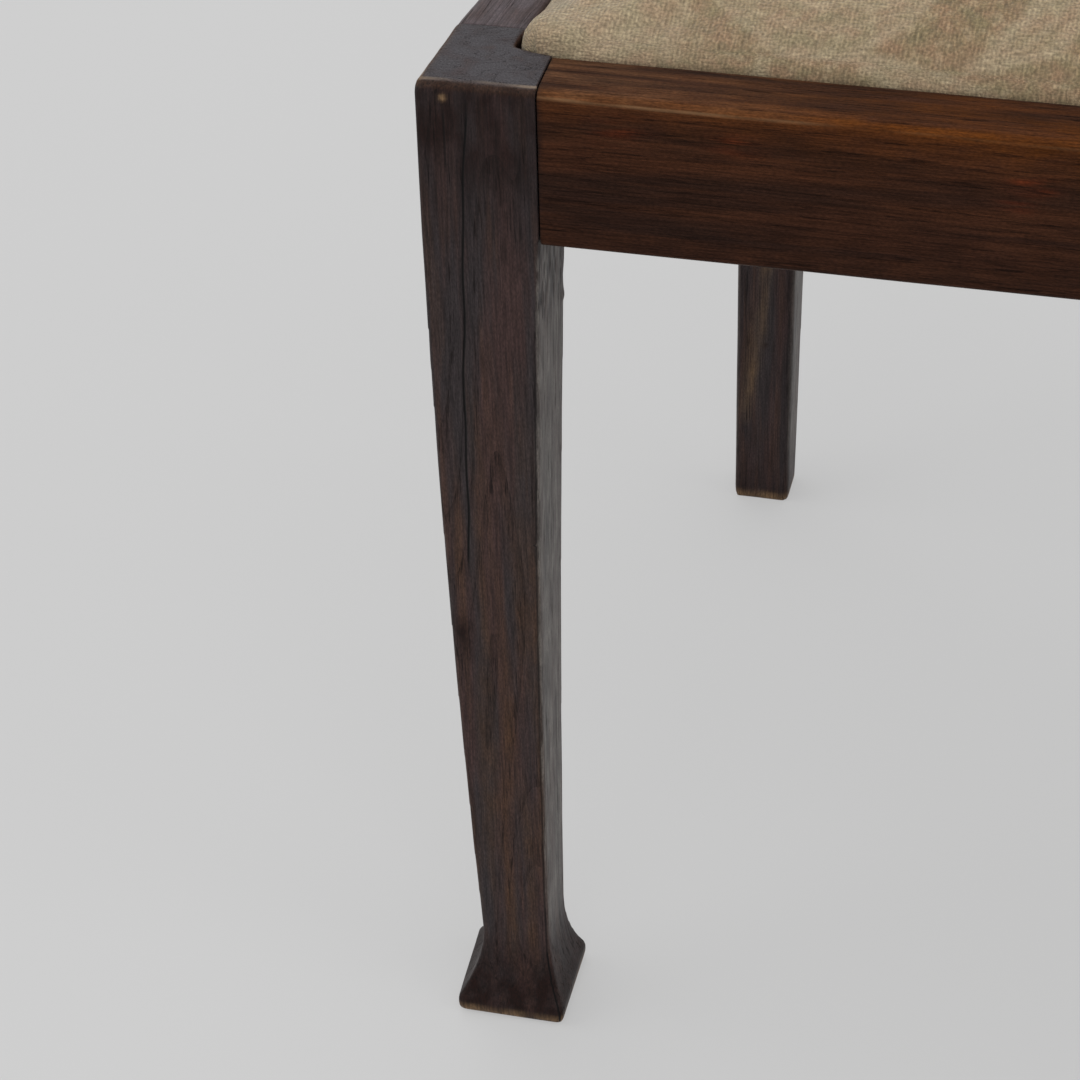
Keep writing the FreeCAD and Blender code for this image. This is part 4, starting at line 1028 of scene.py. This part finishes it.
# %% [markdown]
# ## The weave
# The cloth is a ribbed weave in tan and cream, with a leaf figure so faint that it shows mostly as a
# change of thread: in the ground the warp shows as upright slubs, and in a leaf the weft shows as
# short dashes. A weave follows the cloth and not the room, so the sheet gets a map of its flat cut:
# the top as it lies, and the sides folded out from it. The leaves are drawn on that map by formula,
# in rows that shift by half a repeat, and kept as an attribute.

# %% Unfold the cover and draw its leaves
LEAF_REPEAT = (0.190, 0.150)
LEAVES = ((0.050, 0.040, 50, 0.115, 0.024), (0.130, 0.060, 115, 0.105, 0.022),
          (0.095, 0.115, 10, 0.095, 0.018), (0.165, 0.120, 70, 0.070, 0.014),
          (0.020, 0.110, 140, 0.075, 0.015))
LEAF_RIBS = 900
SIDE_START = 14 * MM
SIDE_WIDE = 6 * MM
PALE_CORNER = np.array([-0.2, -0.2, RAIL_TOP + 10 * MM])
PALE_CORNER_SIZE = 45 * MM


def unfold(points):
    """Flat coordinates of each point of the cover, with the sides folded out level."""
    drop = np.maximum(cover_high.z - SIDE_START - points[:, 2], 0)
    on_side = seat_half_width(points[:, 1]) - np.abs(points[:, 0]) < SIDE_WIDE
    on_front = points[:, 1] - cover_low.y < SIDE_WIDE
    on_back = cover_high.y - points[:, 1] < SIDE_WIDE
    across = points[:, 0] + np.where(on_side, np.sign(points[:, 0]) * drop, 0)
    along = points[:, 1] + np.where(on_back, drop, 0) - np.where(on_front, drop, 0)
    return np.stack([across, along], axis=1)


def leaf_shade(flat):
    """How much of the pale leaf figure shows at each flat point, from 0 to 1."""
    row = np.floor(flat[:, 1] / LEAF_REPEAT[1])
    u = np.mod(flat[:, 0] + (row % 2) * LEAF_REPEAT[0] / 2, LEAF_REPEAT[0])
    v = np.mod(flat[:, 1], LEAF_REPEAT[1])
    shade = np.zeros(len(flat))
    for x, y, degrees, length, width in LEAVES:
        turn = math.radians(degrees)
        for shift in (-LEAF_REPEAT[0], 0, LEAF_REPEAT[0]):
            a = (u - x + shift) * math.cos(turn) + (v - y) * math.sin(turn)
            b = (v - y) * math.cos(turn) - (u - x + shift) * math.sin(turn)
            t = np.clip(a / length + 0.5, 0, 1)
            bend = 1.1 * length * ((t - 0.5) ** 2 - 0.1)
            half = width * np.sin(np.pi * t ** 0.8) * (1 + 0.07 * np.sin(t * 26))
            inside = half - np.abs(b - bend)
            inner = ramp(inside, 0, 5 * MM)
            outline = inner * ramp(inside, 14 * MM, 5 * MM)
            side_ribs = np.sin(LEAF_RIBS * (a + np.abs(b))) * 0.5
            ribs = inner * np.maximum(ramp(np.abs(b - bend), 3 * MM, 1 * MM), side_ribs)
            shade = np.maximum(shade, np.maximum(np.maximum(outline, 0.8 * ribs), 0.45 * inner))
    return shade


def map_cover(piece):
    """Give the cover its map of the flat cut, and paint the leaves and the darker rim low on its sides."""
    points = read_points(piece.data)
    flat = unfold(points)
    layer = piece.data.uv_layers.new(name="flat_cut")
    corner = np.empty(len(piece.data.loops), dtype=np.int32)
    piece.data.loops.foreach_get("vertex_index", corner)
    layer.data.foreach_set("uv", flat[corner].ravel())
    pale = near_spot(points, PALE_CORNER, PALE_CORNER_SIZE)
    # The leaves, a paler front corner, and a darker, greyer rim low on the sides.
    paint(piece.data, leaf=np.maximum(leaf_shade(flat), pale * 1.6),
          rim=ramp(points[:, 2], RAIL_TOP + 13 * MM, RAIL_TOP + 2 * MM))
    return flat


flat = map_cover(cover)
print("cover unfolds to", [round(float(v), 3) for v in flat.max(axis=0) - flat.min(axis=0)], "m")

# %% The ribbed weave
CREAM = "#a39376"
OLIVE = "#72654e"
PALE_YARN = "#baab90"
SOILED = "#786c5b"
RIB_PITCH_MM = 1.6
PICK_PITCH_MM = 1.1
YARN_NOISES_MM = {"slubs": (1.2, 3.6, 2.0), "dashes": (3.6, 1.2, 2.0), "clouds": (10.0, 9.0, 3.0),
                  "blotches": (6.0, 7.0, 3.0), "specks": (1.1, 1.1, 2.0)}


def ribbed_weave():
    """Woollen tapestry cloth: soft ribs one way, finer picks across them, and slubs in the yarn."""
    material, tree = empty_material("ribbed_tapestry")
    place = add(tree, "ShaderNodeUVMap", {"uv_map": "flat_cut"})
    wander = add(tree, "ShaderNodeTexNoise", inputs={"Vector": place, "Scale": 420.0, "Detail": 1.0})
    shaken = add(tree, "ShaderNodeVectorMath", {"operation": "MULTIPLY_ADD"}, {
        0: wander.outputs["Color"], 1: (0.0015, 0.0015, 0.0), 2: place})
    parts = add(tree, "ShaderNodeSeparateXYZ", inputs={0: shaken})
    threads = []
    for axis, pitch in (("X", RIB_PITCH_MM), ("Y", PICK_PITCH_MM)):
        turns = add(tree, "ShaderNodeMath", {"operation": "MULTIPLY"},
                    {0: parts.outputs[axis], 1: 2 * math.pi * 1000 / pitch})
        wave = add(tree, "ShaderNodeMath", {"operation": "SINE"}, {0: turns})
        threads.append(add(tree, "ShaderNodeMapRange", inputs={
            "Value": wave, "From Min": -1.0, "From Max": 1.0}))
    noises = {}
    for layer, (across, along, detail) in YARN_NOISES_MM.items():
        stretched = add(tree, "ShaderNodeMapping", inputs={
            "Vector": place, "Scale": (1000 / across, 1000 / along, 1)})
        noises[layer] = add(tree, "ShaderNodeTexNoise", inputs={
            "Vector": stretched, "Scale": 1.0, "Detail": detail})
    leaf = add(tree, "ShaderNodeAttribute", {"attribute_name": "leaf"}).outputs["Fac"]
    rim = add(tree, "ShaderNodeAttribute", {"attribute_name": "rim"}).outputs["Fac"]
    yarn = add(tree, "ShaderNodeMix", {"data_type": "FLOAT"}, {0: 0.15, 2: threads[0], 3: threads[1]})
    thread = add(tree, "ShaderNodeMix", {"data_type": "FLOAT"},
                 {0: leaf, 2: noises["slubs"], 3: noises["dashes"]})
    cloud = add(tree, "ShaderNodeMapRange", inputs={
        "Value": noises["clouds"], "From Min": 0.36, "From Max": 0.64})
    body = add(tree, "ShaderNodeMix", {"data_type": "RGBA"},
               {0: cloud, 6: linear("#7c6e51"), 7: linear("#876d53")})
    for start, full, most, tone in ((0.5, 0.68, 0.38, CREAM), (0.46, 0.32, 0.4, OLIVE)):
        share = add(tree, "ShaderNodeMapRange", {"interpolation_type": "SMOOTHSTEP"}, {
            "Value": noises["blotches"], "From Min": start, "From Max": full, "To Max": most})
        body = add(tree, "ShaderNodeMix", {"data_type": "RGBA"}, {0: share, 6: body, 7: linear(tone)})
    for mark, most, tone in ((leaf, 0.34, PALE_YARN), (rim, 0.2, SOILED)):
        share = add(tree, "ShaderNodeMath", {"operation": "MULTIPLY"}, {0: mark, 1: most})
        body = add(tree, "ShaderNodeMix", {"data_type": "RGBA"}, {0: share, 6: body, 7: linear(tone)})
    shade = add(tree, "ShaderNodeMapRange", inputs={"Value": yarn, "To Min": 0.86, "To Max": 1.08})
    for layer, low, high in ((thread, 0.74, 1.26), (noises["specks"], 0.68, 1.32)):
        part = add(tree, "ShaderNodeMapRange", inputs={
            "Value": layer, "From Min": 0.3, "From Max": 0.7, "To Min": low, "To Max": high})
        shade = add(tree, "ShaderNodeMath", {"operation": "MULTIPLY"}, {0: shade, 1: part})
    body = add(tree, "ShaderNodeVectorMath", {"operation": "SCALE"}, {0: body, "Scale": shade})
    height = add(tree, "ShaderNodeMath", {"operation": "MULTIPLY_ADD"}, {0: thread, 1: 2.0, 2: yarn})
    end_material(tree, {"Base Color": body, "Roughness": 0.92, "Sheen Weight": 0.2, "Sheen Roughness": 0.5,
                        "Specular IOR Level": 0.2}, height, 0.7, 0.35 * MM)
    return material


dress(cover, ribbed_weave(), "seat_cover")

# %% [markdown]
# ## What lies under the cover
# From below, and with the seat lifted, more cloth shows: a thin black dust cloth under the frame. Above
# it, hidden by the cover, jute straps carry a piece of hessian, and the hessian carries a pad of curled
# hair. Each is made at its packed place. The coarse cloths are plain weaves: one thread over, one under.

# %% Plain weaves and hair
def plain_weave(name, pitch_mm, pale, dark, lift_mm):
    """Over-and-under cloth on the room's x and y, since these cloths lie flat: threads, dark gaps."""
    material, tree = empty_material(name)
    place = add(tree, "ShaderNodeTexCoord").outputs["Object"]
    wander = add(tree, "ShaderNodeTexNoise", inputs={"Vector": place, "Scale": 120.0, "Detail": 1.0})
    shaken = add(tree, "ShaderNodeVectorMath", {"operation": "MULTIPLY_ADD"}, {
        0: wander.outputs["Color"], 1: (pitch_mm * MM,) * 3, 2: place})
    parts = add(tree, "ShaderNodeSeparateXYZ", inputs={0: shaken})
    waves = []
    for axis in "XY":
        turns = add(tree, "ShaderNodeMath", {"operation": "MULTIPLY"},
                    {0: parts.outputs[axis], 1: math.pi * 1000 / pitch_mm})
        waves.append(add(tree, "ShaderNodeMath", {"operation": "SINE"}, {0: turns}))
    crossing = add(tree, "ShaderNodeMath", {"operation": "MULTIPLY"}, {0: waves[0], 1: waves[1]})
    over = add(tree, "ShaderNodeMath", {"operation": "GREATER_THAN"}, {0: crossing, 1: 0.0})
    thread = add(tree, "ShaderNodeMix", {"data_type": "FLOAT"}, {0: over, 2: waves[0], 3: waves[1]})
    thread = add(tree, "ShaderNodeMath", {"operation": "ABSOLUTE"}, {0: thread})
    uneven = add(tree, "ShaderNodeMath", {"operation": "MULTIPLY"}, {0: thread, 1: wander})
    shown = add(tree, "ShaderNodeMapRange", inputs={"Value": uneven, "From Min": 0.05, "From Max": 0.5})
    body = add(tree, "ShaderNodeMix", {"data_type": "RGBA"}, {0: shown, 6: linear(dark), 7: linear(pale)})
    end_material(tree, {"Base Color": body, "Roughness": 0.9, "Specular IOR Level": 0.2},
                 thread, 0.8, lift_mm * MM)
    return material


def curled_hair():
    """A mat of dark curled hair: thin winding lines, which are contours of a noise."""
    material, tree = empty_material("curled_hair")
    place = add(tree, "ShaderNodeTexCoord").outputs["Object"]
    curls = add(tree, "ShaderNodeTexNoise", inputs={
        "Vector": place, "Scale": 140.0, "Detail": 3.0, "Distortion": 1.5})
    strands = add(tree, "ShaderNodeMath", {"operation": "MULTIPLY"}, {0: curls, 1: 60.0})
    strands = add(tree, "ShaderNodeMath", {"operation": "SINE"}, {0: strands})
    body = add(tree, "ShaderNodeMix", {"data_type": "RGBA"},
               {0: strands, 6: linear("#2c221b"), 7: linear("#6b5745")})
    end_material(tree, {"Base Color": body, "Roughness": 0.85}, strands, 0.8, 0.6 * MM)
    return material


jute = plain_weave("plain_woven_jute", 2.4, "#a38558", "#4a3a24", 0.4)
hessian_weave = plain_weave("open_woven_hessian", 1.8, "#b09266", "#3a2d1d", 0.35)
black_lining = plain_weave("black_cotton_lining", 0.7, "#1d1d20", "#0b0b0c", 0.1)
print("cloths", jute.name, hessian_weave.name, black_lining.name)

# %% The pad, the hessian and the dust cloth
PAD_VOXEL = 5 * MM
PAD_SHRINK = 1.6 * MM
PAD_LUMP_SIZE = 22 * MM
PAD_LUMP = 0.9 * MM
PAD_UNDER = COVER_THICK + 0.7 * MM
SHEET_CELLS = 48
DUST_SAG = 2.5 * MM


def make_pad():
    """The pad, shrunk and lumpy, and pressed in wherever it would come too near the cover."""
    pad = voxel_remesh(shown_piece("hair_pad", merged_copy("stuffing_pad")), PAD_VOXEL)
    points = smoothed(read_points(pad.data), read_edges(pad.data), 2)
    write_points(pad.data, points)
    lump = noise_at(points, PAD_LUMP_SIZE, 71) * PAD_LUMP - PAD_SHRINK
    points += read_normals(pad.data) * lump[:, None]
    for i, point in enumerate(points):
        place, outward = (np.array(found) for found in cover_form.find_nearest(Vector(point))[:2])
        points[i] -= outward * max(PAD_UNDER - (place - point) @ outward, 0)
    write_points(pad.data, points)
    dress(pad, curled_hair(), "stuffing_pad")


def make_flat_cloth(name, node, thick, sag, material):
    """A sheet cut to the seat's tapering plan, at its packed place, that sags a little in its middle."""
    low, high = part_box(node)
    inset = float(low.y - cover_low.y)
    steps = np.linspace(-1, 1, SHEET_CELLS + 1)
    u, v = np.meshgrid(steps, steps)
    y = low.y + (v + 1) / 2 * (high.y - low.y)
    x = u * (seat_half_width(y) - inset)
    z = high.z - sag * (1 - u ** 2) * (1 - v ** 2)
    points = np.stack([x, y, z], axis=-1).reshape(-1, 3)
    row = SHEET_CELLS + 1
    faces = [(i * row + j, i * row + j + 1, (i + 1) * row + j + 1, (i + 1) * row + j)
             for i in range(SHEET_CELLS) for j in range(SHEET_CELLS)]
    piece = thicken(drawn_piece(name, points.tolist(), [], faces), thick)
    dress(piece, material, node)
    width, narrow = 2 * float(x.max()), 2 * float(x[-1].max())
    length = float(high.y - low.y)
    return round(width, 3), round(narrow, 3), round(length, 3)


make_pad()
hessian_cut = make_flat_cloth("hessian_sheet", "hessian", 0.8 * MM, 0.0, hessian_weave)
dust_cut = make_flat_cloth("dust_sheet", "dust_cloth", 0.7 * MM, DUST_SAG, black_lining)
print("hessian", hessian_cut, "dust cloth", dust_cut, "wide, narrow and long, m")

# %% [markdown]
# ## Straps and fasteners
# These repeat, so they are grown by Geometry Nodes. A strap is a flat profile swept along the middle
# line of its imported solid. A tack or a screw is modelled once and set at every packed place, turned
# to face the way it was driven, with a random spin and a slight tilt, as a hammer leaves it.

# %% Places and paths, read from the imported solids
def islands(node):
    """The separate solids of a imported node, as arrays of their points."""
    shell = merged_copy(node)
    left = set(shell.verts)
    found = []
    while left:
        reached = [left.pop()]
        for vert in reached:
            fresh = {edge.other_vert(vert) for edge in vert.link_edges} & left
            left -= fresh
            reached.extend(fresh)
        found.append(np.array([v.co for v in reached]))
    shell.free()
    return sorted(found, key=lambda p: tuple(np.round(p.mean(axis=0), 4)))


def middle_line(points, axis, step):
    """The middle line of a strap: the mean of its points at each station, then smoothed."""
    stations = np.unique(np.round(points[:, axis], 4))
    means = np.array([points[np.abs(points[:, axis] - s) < 0.2 * MM].mean(axis=0) for s in stations])
    count = max(int((stations[-1] - stations[0]) / step), 2)
    at = np.linspace(stations[0], stations[-1], count + 1)
    line = np.stack([np.interp(at, stations, means[:, k]) for k in range(3)], axis=1)
    for _ in range(3):
        line[1:-1] = (line[:-2] + 2 * line[1:-1] + line[2:]) / 4
    return line


def driven_place(points):
    """Where a screw's head is and which way it faces: its axis, and the end that is widest."""
    centre = points.mean(axis=0)
    axis = np.linalg.svd(points - centre)[2][0]
    along = (points - centre) @ axis
    spread = np.linalg.norm(points - centre - np.outer(along, axis), axis=1)
    axis = axis * np.sign(along[spread.argmax()])
    return centre + axis * np.abs(along[spread.argmax()]), axis


print("solids in cover_tacks", len(islands("cover_tacks")))

# %% Grow the straps
STRAP_WIDTH = 50 * MM
STRAP_THICK = 1.3 * MM
STRAP_STEP = 5 * MM


def add_sockets(tree, named):
    """Give a node group its inputs, by name and kind, with geometry in and out."""
    tree.interface.new_socket("Geometry", in_out="INPUT", socket_type="NodeSocketGeometry")
    for name, kind in named.items():
        tree.interface.new_socket(name, in_out="INPUT", socket_type=kind)
    tree.interface.new_socket("Geometry", in_out="OUTPUT", socket_type="NodeSocketGeometry")
    return add(tree, "NodeGroupInput").outputs


def grow(piece, tree, values):
    """Run a node group on a piece with these inputs, and keep the mesh that it makes."""
    nodes = piece.modifiers.new("grown", "NODES")
    nodes.node_group = tree
    for item in tree.interface.items_tree:
        if item.in_out == "INPUT" and item.name in values:
            nodes[item.identifier] = values[item.name]
    piece.update_tag()
    return keep_result(piece)


def strap_group():
    tree = bpy.data.node_groups.new("woven_straps", "GeometryNodeTree")
    given = add_sockets(tree, {"Width": "NodeSocketFloat", "Thickness": "NodeSocketFloat",
                               "Finish": "NodeSocketMaterial"})
    path = add(tree, "GeometryNodeMeshToCurve", inputs={0: given["Geometry"]})
    path = add(tree, "GeometryNodeSetCurveNormal", {"mode": "Z_UP"}, {0: path})
    profile = add(tree, "GeometryNodeCurvePrimitiveQuadrilateral", {"mode": "RECTANGLE"},
                  {"Width": given["Width"], "Height": given["Thickness"]})
    strap = add(tree, "GeometryNodeCurveToMesh", inputs={
        "Curve": path, "Profile Curve": profile, "Fill Caps": True})
    whole = add(tree, "GeometryNodeRealizeInstances", inputs={0: strap})
    done = add(tree, "GeometryNodeSetMaterial", inputs={0: whole, "Material": given["Finish"]})
    add(tree, "NodeGroupOutput", inputs={0: done})
    return tree


def make_straps(node, axis, group):
    points, edges = [], []
    for solid in islands(node):
        line = middle_line(solid, axis, STRAP_STEP)
        edges += [(len(points) + i, len(points) + i + 1) for i in range(len(line) - 1)]
        points += line.tolist()
    piece = drawn_piece("jute_" + node, points, edges, [])
    grow(piece, group, {"Width": STRAP_WIDTH, "Thickness": STRAP_THICK, "Finish": jute})
    dress(piece, jute, node)
    return len(piece.data.polygons)


straps = strap_group()
lengthwise = make_straps("webbing_lengthwise", 1, straps)
crosswise = make_straps("webbing_crosswise", 0, straps)
print("straps", lengthwise, "and", crosswise, "faces")

# %% Tacks and screws
TACK_HEAD = ((0.0, 0.6), (1.4, 0.52), (2.3, 0.32), (2.8, 0.1), (2.7, 0.0), (0.7, 0.0))
TACK_SHANK = ((0.7, 0.0), (0.62, -3.2), (0.0, -5.2))
SCREW = ((0.0, 0.0), (4.0, 0.0), (3.9, -0.3), (2.0, -2.4), (2.0, -16.0), (1.6, -27.0), (0.0, -30.0))
SCREW_SLOT = (9.0, 1.0, 2.4)
TACK_HEIGHT = 0.6 * MM
TACK_TILT = 0.06


def turned(name, *profiles_and_sides):
    """A template turned on a lathe: each profile is a list of radius and height, in millimetres."""
    shell = bmesh.new()
    for profile, sides in profiles_and_sides:
        ring = [shell.verts.new((r * MM, 0, z * MM)) for r, z in profile]
        line = [shell.edges.new(pair) for pair in zip(ring, ring[1:])]
        bmesh.ops.spin(shell, geom=ring + line, cent=(0, 0, 0), axis=(0, 0, 1),
                       angle=2 * math.pi, steps=sides)
    bmesh.ops.remove_doubles(shell, verts=shell.verts, dist=0.01 * MM)
    bmesh.ops.recalc_face_normals(shell, faces=shell.faces)
    return shown_piece(name, shell)


def cut_slot(screw):
    """Saw the slot across a screw's head."""
    shell = bmesh.new()
    bmesh.ops.create_cube(shell, size=1.0)
    bmesh.ops.scale(shell, vec=Vector(SCREW_SLOT) * MM, verts=shell.verts)
    saw = shown_piece("saw", shell)
    cut = screw.modifiers.new("slot", "BOOLEAN")
    cut.operation = "DIFFERENCE"
    cut.object = saw
    keep_result(screw)
    bpy.data.objects.remove(saw)
    return screw


def driven_group():
    tree = bpy.data.node_groups.new("driven_fasteners", "GeometryNodeTree")
    given = add_sockets(tree, {"Fastener": "NodeSocketObject", "Tilt": "NodeSocketFloat",
                               "Seed": "NodeSocketInt", "Finish": "NodeSocketMaterial"})
    model = add(tree, "GeometryNodeObjectInfo", inputs={"Object": given["Fastener"]}).outputs["Geometry"]
    aim = add(tree, "GeometryNodeInputNamedAttribute", {"data_type": "FLOAT_VECTOR"}, {"Name": "aim"})
    faced = add(tree, "FunctionNodeAlignRotationToVector", {"axis": "Z"}, {"Vector": aim})
    lean = add(tree, "FunctionNodeRandomValue", {"data_type": "FLOAT_VECTOR"},
               {0: (-1, -1, 0), 1: (1, 1, 1), "Seed": given["Seed"]})
    scale = add(tree, "ShaderNodeCombineXYZ", inputs={0: given["Tilt"], 1: given["Tilt"], 2: 2 * math.pi})
    lean = add(tree, "ShaderNodeVectorMath", {"operation": "MULTIPLY"}, {0: lean, 1: scale})
    lean = add(tree, "FunctionNodeEulerToRotation", inputs={0: lean})
    turn = add(tree, "FunctionNodeRotateRotation", {"rotation_space": "LOCAL"},
               {"Rotation": faced, "Rotate By": lean})
    driven = add(tree, "GeometryNodeInstanceOnPoints", inputs={
        "Points": given["Geometry"], "Instance": model, "Rotation": turn})
    whole = add(tree, "GeometryNodeRealizeInstances", inputs={0: driven})
    done = add(tree, "GeometryNodeSetMaterial", inputs={0: whole, "Material": given["Finish"]})
    add(tree, "NodeGroupOutput", inputs={0: done})
    return tree


def steel(name, pale, dark, rough):
    """Plain steel dulled by handling: two tones that a noise mixes, rougher where it is darker."""
    material, tree = empty_material(name)
    place = add(tree, "ShaderNodeTexCoord").outputs["Object"]
    dull = add(tree, "ShaderNodeTexNoise", inputs={"Vector": place, "Scale": 900.0, "Detail": 3.0})
    body = add(tree, "ShaderNodeMix", {"data_type": "RGBA"}, {0: dull, 6: linear(dark), 7: linear(pale)})
    roughness = add(tree, "ShaderNodeMapRange", inputs={
        "Value": dull, "To Min": rough + 0.2, "To Max": rough - 0.1})
    end_material(tree, {"Base Color": body, "Metallic": 1.0, "Roughness": roughness})
    return material


def drive(node, places, aims, values):
    """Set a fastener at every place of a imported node, facing its aim."""
    piece = drawn_piece("driven_" + node, [tuple(p) for p in places], [], [])
    layer = piece.data.attributes.new("aim", "FLOAT_VECTOR", "POINT")
    layer.data.foreach_set("vector", np.array(aims, dtype=np.float32).ravel())
    grow(piece, driven, values)
    dress(piece, values["Finish"], node)
    return len(places)


driven = driven_group()
tack = turned("tack", (TACK_HEAD, 12), (TACK_SHANK, 4))
screw = cut_slot(turned("screw", (SCREW, 20)))
blued = steel("blued_steel", "#4a4e57", "#23252a", 0.45)
dull_steel = steel("dull_drawn_steel", "#8d8880", "#4d4944", 0.45)
TACK_ROWS = {"cover_tacks": -1, "dust_cloth_tacks": -1, "webbing_tacks": 1}
counts = []
for seed, (node, up) in enumerate(TACK_ROWS.items()):
    heads = []
    for solid in islands(node):
        low, high = solid.min(axis=0), solid.max(axis=0)
        level = high[2] - TACK_HEIGHT if up > 0 else low[2] + TACK_HEIGHT
        heads.append((*((low + high) / 2)[:2], level))
    counts.append(drive(node, heads, [(0, 0, up)] * len(heads),
                        {"Fastener": tack, "Tilt": TACK_TILT, "Seed": seed, "Finish": blued}))
screw_places, screw_aims = zip(*(driven_place(solid) for solid in islands("corner_block_screws")))
counts.append(drive("corner_block_screws", screw_places, screw_aims,
                    {"Fastener": screw, "Tilt": 0.0, "Seed": 9, "Finish": dull_steel}))
bpy.data.objects.remove(tack)
bpy.data.objects.remove(screw)
print("tacks and screws", counts)
